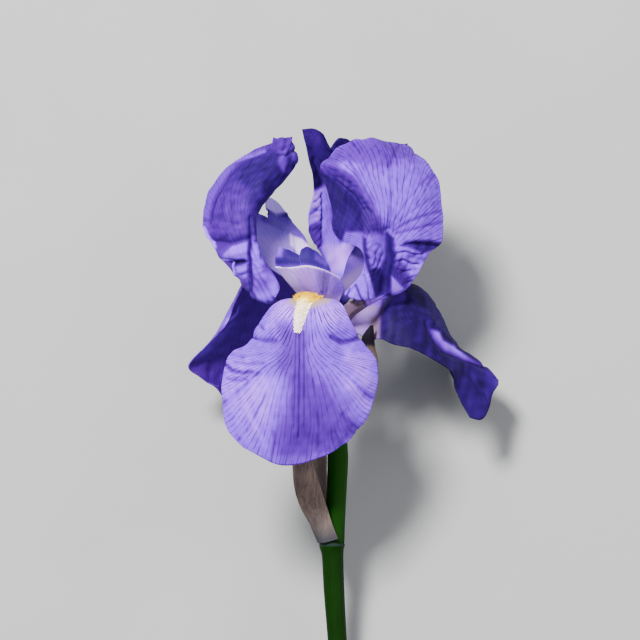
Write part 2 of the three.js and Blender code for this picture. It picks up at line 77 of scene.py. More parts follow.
# %% Camera
CAMERA_DISTANCE = 2.4
VIEW_WIDTH = 0.224
SHARP_PLANE = 0.004
SENSOR = 36.0

camera_data = bpy.data.cameras.new("camera")
camera_data.sensor_width = SENSOR
camera_data.lens = SENSOR * (CAMERA_DISTANCE - SHARP_PLANE) / VIEW_WIDTH
camera_data.clip_end = 10.0
camera = bpy.data.objects.new("camera", camera_data)
camera.matrix_world = flower_to_world @ Matrix.Translation((0, 0, CAMERA_DISTANCE))
bpy.context.scene.collection.objects.link(camera)
bpy.context.scene.camera = camera
print("lens (mm):", round(camera_data.lens, 1))

# %% [markdown]
# ## Tables of numbers
# A flower needs many measured places. They're kept as small tables of plain numbers, in mm: the numbers of
# one place stand side by side, and commas part the places. A line that ends in a comma goes on in the next
# one.

# %% Tables
def places(text):
    """The places in a text such as "1 2, 3 4"."""
    return [tuple(float(number) for number in place.split()) for place in text.split(",")]


def lines_of(text):
    """The entries of a table, one a line, with lines that were broken after a comma joined again."""
    return text.strip().replace(",\n", ", ").splitlines()


def rib_table(text):
    """A list of ribs from a table that has one rib on each line."""
    return [places(line) for line in lines_of(text)]


def mark_table(text):
    """Numbers and places of each line of a table such as "0.5 1.2: 1 2, 3 4". The places stay text."""
    for line in lines_of(text):
        numbers, where = line.split(":")
        yield [float(number) for number in numbers.split()], where


print("a table line:", list(mark_table("0.5 1.2: 1 2, 3 4")))

# %% [markdown]
# ## Smooth curves and sheets
# A petal could be sculpted by hand or simulated as cloth. Ribs are the better way here, because the outline
# has to be exact: each rib is a short curve across the petal with three to eight points, and a second curve
# runs through the ribs. A Catmull-Rom curve passes through all its points, so the outline stays where it is
# put.

# %% Curves through points
def smooth_through(points, count):
    """Samples the curve through an array of points at count even steps along its first axis."""
    points = np.asarray(points, float)
    before = 2 * points[:1] - points[1:2]
    after = 2 * points[-1:] - points[-2:-1]
    padded = np.concatenate([before, points, after])
    place = np.linspace(0, len(points) - 1, count)
    k = np.minimum(place.astype(int), len(points) - 2)
    f = (place - k).reshape(-1, *[1] * (points.ndim - 1))
    p0, p1, p2, p3 = (padded[k + i] for i in range(4))
    curve = 2 * p1 + (p2 - p0) * f + (2 * p0 - 5 * p1 + 4 * p2 - p3) * f**2
    return 0.5 * (curve + (3 * p1 - p0 - 3 * p2 + p3) * f**3)


def rise(values, start, width):
    """0 up to start, then a straight rise to 1 over width. With a negative width it falls instead."""
    return np.clip((values - start) / width, 0, 1)


def soften(grid, passes):
    """Evens out a grid of points a little, so that the ribs don't show as kinks."""
    for _ in range(passes):
        for axis in (0, 1):
            g = np.moveaxis(grid, axis, 0)
            padded = np.concatenate([2 * g[:1] - g[1:2], g, 2 * g[-1:] - g[-2:-1]])
            g = (padded[:-2] + 2 * g + padded[2:]) / 4
            grid = np.moveaxis(g, 0, axis)
    return grid


def grid_normals(grid):
    """Unit normals of a grid of points, out of the face that looks down or out of the flower."""
    normal = np.cross(np.gradient(grid, axis=1), np.gradient(grid, axis=0))
    return normal / np.maximum(np.linalg.norm(normal, axis=2, keepdims=True), 1e-9)


EDGE_STEEPNESS = 2.2  # how quickly a patch fades across its soft edge


class Sheet:
    """A grid of points through ribs, in mm in the flower's frame. s runs across from -1 to 1, t along from 0
    to 1. Ribs run from the base to the tip, and their points in the direction of rising azimuth. toward is 1
    where the outer or lower face looks at the camera, and -1 where the inner or upper one does. tone is the
    colour everywhere at first (0 pale, 1 darkest)."""

    def __init__(self, ribs, rows, columns, toward, tone, passes=10):
        across = np.stack([smooth_through(rib, columns + 1) for rib in ribs])
        self.points = soften(smooth_through(across, rows + 1), passes)
        self.rows, self.columns, self.toward = rows, columns, toward
        self.s = np.linspace(-1, 1, columns + 1)[None, :] * np.ones((rows + 1, 1))
        self.t = np.linspace(0, 1, rows + 1)[:, None] * np.ones((1, columns + 1))
        self.tone = np.full(self.s.shape, tone)
        self.warm = np.zeros(self.s.shape)
        self.veiny = np.ones(self.s.shape)
        far = CAMERA_DISTANCE / MM
        shrink = (far - SHARP_PLANE / MM) / (far - self.points[..., 2])
        self.seen = self.points[..., :2] * shrink[..., None]

    def raise_by(self, height):
        """Moves the sheet by height (mm) towards the face that looks at the camera."""
        self.points = self.points + grid_normals(self.points) * (self.toward * height)[..., None]

    def away_from(self, corners):
        """How far (mm) each point is from a line through corners, as seen from the front."""
        away = np.full(self.s.shape, np.inf)
        for start, end in zip(np.array(corners[:-1]), np.array(corners[1:])):
            run = end - start
            part = np.clip(((self.seen - start) @ run) / (run @ run), 0, 1)
            away = np.minimum(away, np.linalg.norm(self.seen - start - part[..., None] * run, axis=2))
        return away

    def line(self, path, width, crisp=1):
        """1 on a line through places X Y as seen from the front, falling off over width mm."""
        return np.exp(-((self.away_from(places(path)) / width) ** (2 * crisp)))

    def patch(self, outline, soft):
        """1 inside an outline of places X Y as seen from the front, fading over soft mm at its edge."""
        corners = places(outline)
        corners.append(corners[0])
        x, y = self.seen[..., 0], self.seen[..., 1]
        inside = np.zeros(x.shape, bool)
        for (x0, y0), (x1, y1) in zip(corners, corners[1:]):
            crosses = (y0 > y) != (y1 > y)
            with np.errstate(divide="ignore", invalid="ignore"):
                inside ^= crosses & (x < (x1 - x0) * (y - y0) / (y1 - y0) + x0)
        away = self.away_from(corners)
        return 1 / (1 + np.exp(-EDGE_STEEPNESS * np.where(inside, away, -away) / soft))

    def paint(self, tone, mask, strength=0.85):
        """Brings the colour towards a tone (0 pale, 1 darkest) where the mask is 1."""
        self.tone = self.tone + (tone - self.tone) * strength * mask

    def paint_patches(self, table, strength=0.85):
        """Paints one patch after another. Each line of the table is tone, softness (mm): outline."""
        for (tone, soft), outline in mark_table(table):
            self.paint(tone, self.patch(outline, soft), strength)

    def carve(self, table):
        """Height (mm) of several grooves, or ridges where the depth is negative. Each line of the table is
        width, depth: path, or width, depth, tone: path, where that tone is painted along the line, mostly a
        deeper one as painted shade in the groove."""
        height = np.zeros(self.s.shape)
        for (width, depth, *tone), path in mark_table(table):
            mask = self.line(path, width)
            height -= depth * mask
            if tone:
                self.paint(tone[0], mask)
        return height

    def calm(self, mask, share):
        """Leaves only a share of the veins where the mask is 1."""
        self.veiny = self.veiny + (share - self.veiny) * mask

    def margin(self, tip_start=0.5):
        """How near each point is to the free edge: 0 in the middle, 1 on the edge."""
        tip = rise(self.t, tip_start, 1 - tip_start)
        return (np.abs(self.s) ** 5 + tip**5) ** (1 / 5)


def ripples(points, size, seed, count=7):
    """Smooth, uneven waves over points, about -1 to 1, with bumps of about the given size in mm."""
    random = np.random.default_rng(seed)
    total = np.zeros(points.shape[:-1])
    for _ in range(count):
        direction = random.normal(size=3)
        direction /= np.linalg.norm(direction)
        wave = size * random.uniform(1.4, 3.2)
        total += np.sin(2 * np.pi * (points @ direction) / wave + random.uniform(0, 2 * np.pi))
    return total / math.sqrt(count)


print("curve test:", smooth_through([[0, 0], [1, 1], [2, 0]], 5).round(3).tolist())

# %% [markdown]
# ## From sheet to object
# Blender's grid operator makes the faces and the UV map, and the vertices are then moved onto the sheet.
# Three numbers are stored on every vertex for the materials: how deep the colour is there (tone), how much
# of the material's second colour it has (warm), and how strong its veins are (veiny). A Solidify modifier
# gives the sheet its thickness and puts the second material on the face that looks up or into the flower.

# %% Objects
collection = bpy.context.scene.collection


def finish_piece(name, mesh, materials, node):
    """Links a finished mesh as a piece that replaces a node of the frame."""
    for polygon in mesh.polygons:
        polygon.use_smooth = True
    for material in materials:
        mesh.materials.append(material)
    piece = bpy.data.objects.new(name, mesh)
    collection.objects.link(piece)
    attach(piece, "root")
    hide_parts(node)
    return piece


def place_vertices(mesh, points):
    """Puts a mesh's vertices at points given in mm in the flower's frame."""
    turn = np.array(lying_turn)
    world = points.reshape(-1, 3) * MM @ turn.T + np.array(flower_origin)
    mesh.vertices.foreach_set("co", world.astype(np.float32).ravel())
    mesh.update()


def store(mesh, name, values):
    """Stores one number per vertex for the materials."""
    attribute = mesh.attributes.new(name, "FLOAT", "POINT")
    attribute.data.foreach_set("value", np.asarray(values, np.float32).ravel())


def grid_mesh(name, rows, columns):
    """A flat grid with a UV map, and the row and column of each of its vertices."""
    bm = bmesh.new()
    bm.loops.layers.uv.new("UVMap")
    bmesh.ops.create_grid(bm, x_segments=columns, y_segments=rows, size=1, calc_uvs=True)
    mesh = bpy.data.meshes.new(name)
    bm.to_mesh(mesh)
    bm.free()
    flat = np.empty(len(mesh.vertices) * 3, np.float32)
    mesh.vertices.foreach_get("co", flat)
    flat = flat.reshape(-1, 3)
    column = np.rint((flat[:, 0] + 1) / 2 * columns).astype(int)
    row = np.rint((flat[:, 1] + 1) / 2 * rows).astype(int)
    return mesh, row, column


def turn_outward(bm, mesh):
    """Turns all normals outward and writes the mesh."""
    bmesh.ops.recalc_face_normals(bm, faces=bm.faces[:])
    bm.to_mesh(mesh)
    bm.free()


def sheet_piece(name, sheet, thickness, materials, node):
    """A piece from a sheet: materials are those of its outer or lower face and of its inner or upper face."""
    mesh, row, column = grid_mesh(name, sheet.rows, sheet.columns)
    place_vertices(mesh, sheet.points[row, column])
    for number, values, most in (("tone", sheet.tone, 1), ("warm", sheet.warm, 1), ("veiny", sheet.veiny, 2)):
        store(mesh, number, np.clip(values, 0, most)[row, column])
    piece = finish_piece(name, mesh, materials, node)
    solidify = piece.modifiers.new("thickness", "SOLIDIFY")
    solidify.thickness = thickness * MM
    solidify.offset = 0
    solidify.material_offset = 1
    solidify.material_offset_rim = 1
    print(f"{name}: {len(mesh.polygons)} faces, {thickness} mm thick")


# %% [markdown]
# ## Building materials from nodes
# Writing node trees by hand takes many lines, so a small helper makes the nodes. Colours are given the way
# a painter reads them, as display colours, and turned into the linear colours that shaders work with.

# %% Node helper
def linear(*display):
    """Linear colour from display red, green and blue between 0 and 1."""
    return tuple(c / 12.92 if c <= 0.04045 else ((c + 0.055) / 1.055) ** 2.4 for c in display) + (1.0,)


class Nodes:
    """Makes nodes in one tree. Values that aren't sockets are set on the input itself."""

    def __init__(self, tree):
        self.tree = tree

    def put(self, socket, value):
        if isinstance(value, bpy.types.NodeSocket):
            self.tree.links.new(value, socket)
        elif value is not None:
            socket.default_value = value

    def new(self, kind, inputs=(), **settings):
        node = self.tree.nodes.new(kind)
        for key, value in settings.items():
            setattr(node, key, value)
        for key, value in dict(inputs).items():
            self.put(node.inputs[key], value)
        return node

    def math(self, operation, a, b=None, c=None, clamp=False):
        node = self.new("ShaderNodeMath", operation=operation, use_clamp=clamp)
        for socket, value in zip(node.inputs, (a, b, c)):
            self.put(socket, value)
        return node.outputs[0]

    def span(self, value, low, high, to_low=0.0, to_high=1.0):
        inputs = {"Value": value, "From Min": low, "From Max": high, "To Min": to_low, "To Max": to_high}
        node = self.new("ShaderNodeMapRange", inputs, interpolation_type="SMOOTHSTEP")
        return node.outputs["Result"]

    def mix(self, factor, a, b):
        node = self.new("ShaderNodeMix", data_type="RGBA")
        for index, value in ((0, factor), (6, a), (7, b)):
            self.put(node.inputs[index], value)
        return node.outputs[2]

    def ramp(self, factor, stops):
        node = self.new("ShaderNodeValToRGB", {"Fac": factor})
        elements = node.color_ramp.elements
        for i, (place, colour) in enumerate(stops):
            element = elements[i] if i < 2 else elements.new(place)
            element.position = place
            element.color = colour
        return node.outputs["Color"]

    def bump(self, height, strength, distance=0.3 * MM):
        inputs = {"Height": height, "Strength": strength, "Distance": distance}
        return self.new("ShaderNodeBump", inputs).outputs["Normal"]

    def noise(self, vector, scale, detail=2.0, roughness=0.5):
        inputs = {"Vector": vector, "Scale": scale, "Detail": detail, "Roughness": roughness}
        return self.new("ShaderNodeTexNoise", inputs).outputs["Fac"]

    def attribute(self, name):
        return self.new("ShaderNodeAttribute", attribute_name=name).outputs["Fac"]

    def flower_mm(self, stretch=(1, 1, 1)):
        """Places in mm in the flower's own frame, so that Y runs along the stem. stretch multiplies them."""
        place = self.new("ShaderNodeTexCoord").outputs["Object"]
        mapping = self.new("ShaderNodeMapping", {"Vector": place}, vector_type="TEXTURE")
        mapping.inputs["Location"].default_value = flower_origin
        mapping.inputs["Rotation"].default_value = lying_turn.to_euler()
        mapping.inputs["Scale"].default_value = [MM / s for s in stretch]
        return mapping.outputs["Vector"]

    def surface(self, inputs, lets_through=0.0):
        """Ends a material with a Principled shader, and for thin tissue a share of a Translucent one."""
        shader = self.new("ShaderNodeBsdfPrincipled", inputs).outputs[0]
        if lets_through:
            through = {"Color": inputs["Base Color"], "Normal": inputs["Normal"]}
            through = self.new("ShaderNodeBsdfTranslucent", through).outputs[0]
            shader = self.new("ShaderNodeMixShader", {0: lets_through, 1: shader, 2: through}).outputs[0]
        self.new("ShaderNodeOutputMaterial", {"Surface": shader})


def new_material(name):
    material = bpy.data.materials.new(name)
    material.use_nodes = True
    material.node_tree.nodes.clear()
    return material, Nodes(material.node_tree)


# %% [markdown]
# ## Vein group
# Petal veins leave the base side by side. Near the midrib they stay parallel, and the further out they lie
# the more they bend away from it, until they meet the edge nearly square on. One formula gives each place
# the lane it belongs to. Where the lanes have been pulled wide apart, finer veins fade in between them, as
# they fork on the real petal. The group gives one mask, which colour and bump both use.

# %% Vein group
VEIN_WIDTH = 0.3  # half width of a vein, as a share of the lane between two veins at the base


def vein_group():
    tree = bpy.data.node_groups.new("petal veins", "ShaderNodeTree")
    tree.interface.new_socket("UV", in_out="INPUT", socket_type="NodeSocketVector")
    for name in ("Count", "Start", "Fan"):
        tree.interface.new_socket(name, in_out="INPUT", socket_type="NodeSocketFloat")
    tree.interface.new_socket("Veins", in_out="OUTPUT", socket_type="NodeSocketFloat")
    n = Nodes(tree)
    inputs = n.new("NodeGroupInput").outputs
    parts = n.new("ShaderNodeSeparateXYZ", {"Vector": inputs["UV"]}).outputs
    wobble = n.math("SUBTRACT", n.noise(inputs["UV"], 6.0, 4.0, 0.6), 0.5)
    across = n.math("MULTIPLY_ADD", parts["X"], 2.0, -1.0)
    across = n.math("MULTIPLY_ADD", wobble, 0.09, across)
    beyond = n.math("SUBTRACT", parts["Y"], inputs["Start"])
    travel = n.math("MULTIPLY", n.math("MAXIMUM", beyond, 0.0), inputs["Fan"])
    size = n.math("MAXIMUM", n.math("ABSOLUTE", across), 0.0004)
    root = n.math("SQRT", size)
    stretch = n.math("MULTIPLY_ADD", travel, root, 1.0)
    lane = n.math("DIVIDE", size, n.math("MULTIPLY", stretch, stretch))
    widen = n.span(beyond, -0.1, 0.25, 1.0, 2.0)
    cube = n.math("MULTIPLY", n.math("MULTIPLY", stretch, stretch), stretch)
    spread = n.math("MULTIPLY", cube, widen)
    veins = None
    for forks, weight in ((1, 1.0), (2, 0.95), (4, 0.9), (8, 0.85), (16, 0.8), (32, 0.75), (64, 0.7)):
        lanes = n.math("MULTIPLY", lane, n.math("MULTIPLY", inputs["Count"], float(forks)))
        away = n.math("PINGPONG", lanes, 0.5)
        share = n.math("DIVIDE", VEIN_WIDTH * forks, spread)
        share = n.math("MINIMUM", n.math("MAXIMUM", share, 0.06), 0.42)
        line = n.math("SUBTRACT", 1.0, n.math("DIVIDE", away, share), clamp=True)
        level = n.math("MULTIPLY", line, n.span(spread, forks * 1.1 - 0.8, forks * 1.8, 0.0, weight))
        veins = level if veins is None else n.math("MAXIMUM", veins, level)
    patchy = n.span(n.noise(inputs["UV"], 15.0, 3.0, 0.6), 0.36, 0.6, 0.25, 1.0)
    n.new("NodeGroupOutput", {"Veins": n.math("MULTIPLY", veins, patchy)})
    return tree


veins_tree = vein_group()
print("vein group nodes:", len(veins_tree.nodes))

# %% [markdown]
# ## Petal material
# A petal is thin, moist tissue: light enters it, scatters and comes out on both sides, and its skin of tiny
# cells gives it a soft sheen. So each petal mixes a Principled shader with a share of a Translucent one.
# Its colour follows the tone stored on the mesh through a few stops, from a pale lavender to a violet that
# is nearly blue, with the veins drawn over it. Where the stored number warm rises, a second colour takes
# over, such as the olive of the throat.

# %% Petal material
TONES = (
    (0.00, linear(0.75, 0.48, 0.99)),
    (0.25, linear(0.50, 0.245, 0.92)),
    (0.50, linear(0.35, 0.125, 0.66)),
    (0.70, linear(0.265, 0.065, 0.51)),
    (0.86, linear(0.16, 0.02, 0.375)),
    (1.00, linear(0.085, 0.011, 0.225)),
)
STYLE_TONES = (
    (0.00, linear(0.90, 0.80, 1.0)),
    (0.30, linear(0.66, 0.46, 0.86)),
    (0.55, linear(0.44, 0.24, 0.76)),
    (0.80, linear(0.23, 0.10, 0.50)),
    (1.00, linear(0.12, 0.04, 0.31)),
)


def petal_material(name, vein_fan, vein_strength, warm=linear(0.62, 0.55, 0.34), darker=0.0, bump=0.5,
                   lets_through=0.18, tones=TONES):
    """A petal's finish. vein_fan is Count, Start and Fan of the vein group. darker deepens every tone."""
    material, n = new_material(name)
    place = n.flower_mm()
    uv = n.new("ShaderNodeUVMap", uv_map="UVMap").outputs["UV"]
    inputs = {"UV": uv, **dict(zip(("Count", "Start", "Fan"), vein_fan))}
    veins = n.new("ShaderNodeGroup", inputs, node_tree=veins_tree).outputs["Veins"]
    veins = n.math("MULTIPLY", veins, n.attribute("veiny"))
    cloud = n.noise(place, 0.16, 4.0, 0.6)
    grain = n.noise(place, 1.9, 3.0, 0.65)
    tone = n.math("ADD", n.attribute("tone"), darker)
    for unevenness, share in ((cloud, 0.08), (grain, 0.12)):
        tone = n.math("MULTIPLY_ADD", n.math("SUBTRACT", unevenness, 0.5), share, tone)
    tone = n.math("MULTIPLY_ADD", veins, vein_strength, tone, clamp=True)
    colour = n.mix(n.attribute("warm"), n.ramp(tone, tones), warm)
    relief = n.math("MULTIPLY_ADD", veins, -0.7, n.math("MULTIPLY", grain, 0.45))
    n.surface({
        "Base Color": colour, "Roughness": n.span(grain, 0.3, 0.7, 0.48, 0.64), "Specular IOR Level": 0.08,
        "Normal": n.bump(relief, bump),
    }, lets_through)
    return material


fall_upper = petal_material("fall upper face", (13.0, 0.36, 3.2), 0.36, bump=0.8)
# The lower face is darker partly as its own duller colour and partly as painted shade, for the undersides of
# the back falls.
fall_under = petal_material("fall lower face", (12.0, 0.36, 3.2), 0.1, darker=0.15)
standard_outer = petal_material("standard outer face", (12.0, 0.4, 3.2), 0.3, linear(0.46, 0.36, 0.43),
                                bump=0.75)
standard_inner = petal_material("standard inner face", (11.0, 0.4, 3.2), 0.16, linear(0.40, 0.31, 0.38))
STYLE_VEINS = (5.0, 0.1, 1.2)
style_skin = petal_material("style arm", STYLE_VEINS, 0.1, linear(0.72, 0.60, 0.50), bump=0.25,
                            lets_through=0.25, tones=STYLE_TONES)
# Its second colour, a pale blue, is laid on the tip as painted light shining through it, and more thinly on
# the body as the arm's bluer hue.
left_style_skin = petal_material("left style arm", STYLE_VEINS, 0.1, linear(0.74, 0.66, 1.0), bump=0.25,
                                 lets_through=0.3, tones=STYLE_TONES)
print("tones:", len(TONES))

# %% [markdown]
# ## Green and papery materials
# The stem, ovary and tube are waxy green with fine grooves along them. The upper stem is painted a lighter
# green than the rest, as painted light against the shade that falls on it under the front fall, which a
# stored number on the stem says. The bracts are dry and papery, with fibres along them, brown blotches, and
# a darker tip. Fibres run along the flower's Y, so both read places in the flower's own frame, stretched
# along Y.

# %% Stem and bract materials
def stalk_material(name, *colours):
    """Waxy green skin. colours are a dark, a middle and a light one."""
    material, n = new_material(name)
    along = n.noise(n.flower_mm((1.6, 0.06, 1.6)), 1.0, 4.0, 0.6)
    blotch = n.noise(n.flower_mm((0.12, 0.06, 0.12)), 1.0, 3.0, 0.5)
    grain = n.noise(n.flower_mm((5.0, 2.0, 5.0)), 1.0, 2.0, 0.5)
    mixed = n.math("MULTIPLY_ADD", blotch, 0.55, n.math("MULTIPLY", along, 0.45))
    colour = n.ramp(mixed, zip((0.3, 0.52, 0.75), colours))
    # Painted light: where the stored number rises, the upper stem is lightened towards this green against the
    # shade on it.
    colour = n.mix(n.math("MULTIPLY", n.attribute("upper_stem_light"), 0.8), colour, linear(0.07, 0.235, 0.025))
    colour = n.mix(n.attribute("warm"), colour, linear(0.19, 0.20, 0.25))
    n.surface({
        "Base Color": colour, "Roughness": n.span(grain, 0.3, 0.7, 0.42, 0.58), "Specular IOR Level": 0.04,
        "Normal": n.bump(n.math("MULTIPLY_ADD", grain, 0.25, along), 0.35, 0.4 * MM),
    })
    return material


def papery_material(name, paler):
    """Dry, fibrous skin. paler brings it towards a whitish colour."""
    material, n = new_material(name)
    fibre = n.noise(n.flower_mm((2.6, 0.07, 2.6)), 1.0, 4.0, 0.65)
    blotch = n.noise(n.flower_mm((0.2, 0.08, 0.2)), 1.0, 4.0, 0.6)
    speck = n.noise(n.flower_mm((1.4, 0.9, 1.4)), 1.0, 3.0, 0.6)
    shade = n.math("MULTIPLY_ADD", fibre, 0.5, n.math("MULTIPLY", blotch, 0.5))
    colour = n.ramp(shade, (
        (0.34, linear(0.36, 0.30, 0.27)), (0.5, linear(0.55, 0.47, 0.43)), (0.68, linear(0.72, 0.62, 0.54)),
    ))
    for share, towards in (
        (n.math("MULTIPLY", n.span(speck, 0.6, 0.72), 0.5), linear(0.16, 0.12, 0.10)),
        (paler, linear(0.86, 0.80, 0.77)),
        (n.attribute("tone"), linear(0.12, 0.09, 0.15)),
        (n.attribute("warm"), linear(0.27, 0.27, 0.30)),
    ):
        colour = n.mix(share, colour, towards)
    n.surface({
        "Base Color": colour, "Roughness": n.span(fibre, 0.3, 0.7, 0.6, 0.85), "Specular IOR Level": 0.1,
        "Normal": n.bump(n.math("MULTIPLY_ADD", speck, 0.3, fibre), 0.6),
    }, lets_through=0.4)
    return material


stem_skin = stalk_material("stem skin", linear(0.022, 0.112, 0.007), linear(0.031, 0.142, 0.011),
                           linear(0.046, 0.165, 0.018))
ovary_skin = stalk_material("ovary skin", linear(0.16, 0.26, 0.09), linear(0.23, 0.35, 0.13),
                            linear(0.34, 0.45, 0.2))
tube_skin = stalk_material("tube skin", linear(0.28, 0.3, 0.16), linear(0.37, 0.39, 0.22),
                           linear(0.5, 0.46, 0.34))
bract_paper = papery_material("papery bract", paler=0.0)
# The inner face is painted paler than the outer one, as painted light against the shade that it lies in.
bract_lining = papery_material("bract inner face", paler=0.4)
print("stalk and bract materials made")

# %% [markdown]
# ## Ribs of the petals
# The six petals stand in two rings of three around the top of the perianth tube: falls, which arch out and
# hang, and standards, which rise between them. Each list holds the ribs of one petal from base to tip. The
# first rib of each is a short arc on the rim of the tube.

# %% Petal ribs
TUBE_CENTRE_X = 3.5
TUBE_TOP = -3.3
PETAL_RING_RADIUS = 4.7
AZIMUTH = {
    "front": -20, "right": 100, "left": -140,
    "left_standard": -80, "right_standard": 40, "back_standard": 160,
}


def ring_point(azimuth, radius, y):
    """A point on a ring around the top of the tube. Azimuth is in degrees from +Z towards +X."""
    angle = math.radians(azimuth)
    return [TUBE_CENTRE_X + radius * math.sin(angle), y, radius * math.cos(angle)]


def base_rib(azimuth, half_angle, radius):
    return [ring_point(azimuth + s * half_angle, radius, TUBE_TOP) for s in (-1, -0.5, 0, 0.5, 1)]


front_fall_ribs = [base_rib(AZIMUTH["front"], 25, PETAL_RING_RADIUS), *rib_table("""
-3.2 3.8 8.8, 0.2 1.6 9.8, 4 3.8 11.4
-7.9 7 14.2, -2.3 5.4 16.2, 3.4 7 17.8
-12.8 6.9 17.5, -8 7.4 19.4, -3.7 6.7 20.5, 1 7.4 21.4, 5.8 6.7 21.4
-17.4 4.1 20.3, -11 4.4 24, -5 3.4 25.4, 1.6 4.4 25.8, 8.4 4.2 23.6
-21.6 -2.6 22, -14 -2.6 26.6, -6.2 -3.6 28.4, 2.4 -2.6 28.4, 11.8 -3 24.8
-24.8 -8.9 23.4, -16.1 -9 28, -6.8 -10 29.4, 3.6 -9 29.2, 16 -9 25
-30.2 -10.8 23, -18.2 -13.2 28.3, -7 -14.4 29.8, 5.2 -13.4 29.2, 18.6 -12.2 24.8
-33 -15.6 23, -20 -17.6 28.4, -7.2 -18.6 30, 6.6 -17.6 29, 19.9 -15.8 24.4
-34.2 -25.6 23, -21 -27.4 28.8, -7.5 -28.4 30.4, 6.8 -27.2 29, 19.9 -24.6 24
-32.4 -37.2 24.4, -19.9 -38.8 29, -7.8 -39.2 30.2, 4.8 -37.6 28.6, 16.4 -34.2 24.4
-26.4 -44.3 26, -18.2 -48.5 27.6, -10.2 -50.5 28, 1 -47 26.8, 9.6 -42.2 25.4
""")]
right_fall_ribs = [base_rib(AZIMUTH["right"], 25, PETAL_RING_RADIUS), *rib_table("""
12.2 -4.2 1, 12.6 0.2 -1.6, 11.8 6.4 -5.4
17.4 -6.8 1.4, 18.6 2 -2.6, 18 10.6 -9.4
21 -6.6 5.4, 22.4 2.4 2.6, 24.8 9 -4.2, 26 10.6 -10.6, 26 10 -17
24.6 -7.8 8.6, 27.6 2 4, 31.2 12.6 -7.4, 33 9 -18, 32.6 1 -27
32.6 -9.8 8.6, 35 -2.5 4, 38.2 8.6 -10.4, 40.4 1.6 -24, 38.4 -7.6 -34
39.8 -13.4 6, 40.6 -7.5 1.5, 42.8 1 -12, 45 -6.5 -26, 42.6 -13 -37.4
46.4 -18.8 3, 46.4 -14 -1.5, 47.8 -8.6 -13, 49 -13 -26, 46.6 -17.4 -37
49.2 -25.4 0.4, 51.8 -20.4 -4, 57 -15.5 -12.6, 55 -18.5 -24, 50.4 -24.4 -32.6
52.4 -34.2 -1.6, 56.2 -35.2 -4, 59 -31.6 -6.4, 60.4 -26.6 -8, 63 -21.6 -10, 60.8 -22.6 -15,
58.4 -26.6 -20, 54.6 -30 -25
""")]
left_fall_ribs = [base_rib(AZIMUTH["left"], 25, PETAL_RING_RADIUS), *rib_table("""
-0.5 5 -10.4, -3.6 4.4 -7.8, -5.6 6.4 -4.6
-4 12.4 -18, -9 11.6 -14.4, -12.6 14.6 -9.6
-7.4 15 -26.6, -11.4 17.4 -24, -15.6 18 -20.4, -18.2 19.6 -17, -20.6 22.6 -14
-7 8.6 -34.4, -13.6 14.6 -31, -20.4 17.4 -26, -24.6 16.6 -20.6, -27 12.6 -16.4
-7 -1 -41, -15.6 6 -37.6, -24.4 9.4 -31.6, -29.6 8 -24.6, -32.2 0.4 -18.6
-7.6 -10.6 -44.4, -17.4 -3.6 -41, -27 -1 -35, -34.6 -2.6 -28, -40.2 -8.8 -21.6
-9.4 -19.6 -44, -18.4 -14.4 -42, -28.2 -12 -37.4, -37.6 -12 -30, -47 -16 -24.4
-13 -28 -42.1, -20 -25 -40.6, -28.6 -23.2 -37.4, -36 -21 -32, -42.8 -20.6 -27.2
-18 -32.6 -39.8, -22.6 -33 -38.6, -27.6 -32.2 -36.8, -32 -29.2 -34.4, -36.8 -25.2 -31
""")]
left_standard_ribs = [base_rib(AZIMUTH["left_standard"], 23, PETAL_RING_RADIUS), *rib_table("""
-5.8 3.4 1, -6.4 2.8 3.2, -6 3.4 5.4
-15.4 7 3.4, -16 5.8 6.4, -14.4 6.6 9.4
-25.4 10.6 8.4, -24.8 9.4 10.4, -23.6 8.2 12, -19.6 6.8 13.6, -15.6 7.6 14
-28.6 15.4 8, -26.8 15.6 10.8, -24.7 15.6 11.6, -20.4 14 14.4, -14 11.8 14
-34.4 21.8 6.6, -29.8 22.4 10.8, -24.6 22.6 11.8, -21.4 21.4 14, -18.4 18.6 12
-39.6 30.6 3, -32.6 30.6 9.8, -24.4 30.8 11.6, -22.6 29.8 9.4, -22.6 29 4.4
-39.4 40.4 -0.6, -32.4 40 7.4, -24.4 39.4 10, -21.2 38.6 5.4, -22 38 -1
-35 49.8 -4, -28.4 48.6 3.8, -20.8 46.8 6.6, -16.4 45.4 2, -17 45 -5
-25.8 56.6 -6.6, -20 55.2 0.4, -14.6 53.2 3, -10.6 51.8 -1, -10.6 52 -7
-17 60.6 -7, -14 60 -3.4, -11.4 59 -2, -9 57.4 -3.6, -7.8 56.4 -7
-15.4 63.4 -9, -12.6 64.2 -7.4, -9.8 64.4 -6.4, -9.4 62 -7, -8.8 60.2 -9
""")]
right_standard_ribs = [base_rib(AZIMUTH["right_standard"], 23, PETAL_RING_RADIUS), *rib_table("""
8 4.8 7.6, 10.6 2.4 6.2, 12.2 1.8 3.8
14 7.8 9.8, 17.4 6.6 8.6, 20.6 7 6.6
8.4 9 12.4, 15 7.4 12.4, 21.6 9.6 8.4, 25.2 10.4 8.6, 29.6 10.4 6.6
14.6 16.4 12, 18 16.6 12, 21.8 17 8.8, 26 16.6 10.4, 34.4 16.8 8
14.4 24.6 11, 18 24.4 12.6, 22.3 24.4 9.6, 28.6 23.4 12.4, 38 23.6 8.4
5.2 29.4 1.6, 15.4 31.4 11.4, 23 31 10.8, 32.6 30 13, 42.2 26.4 6.6
4.4 38.4 -5, 13.6 40.6 9, 23.8 40 13.6, 34 38.6 12.8, 42.8 36 4.4
2.2 47 -6.4, 11 49.4 6.4, 22.4 49.8 12.6, 33.4 48 10.2, 42.2 46.2 1
0.2 53.8 -5, 10.4 56.4 2.4, 20.8 57.8 7.4, 30.6 56.6 4.6, 38.2 54 -2.4
3 57.2 -6.4, 9.6 62.4 -3, 17.4 63.6 -1.6, 25.6 62.4 -3.4, 32 59.8 -7.6
""")]
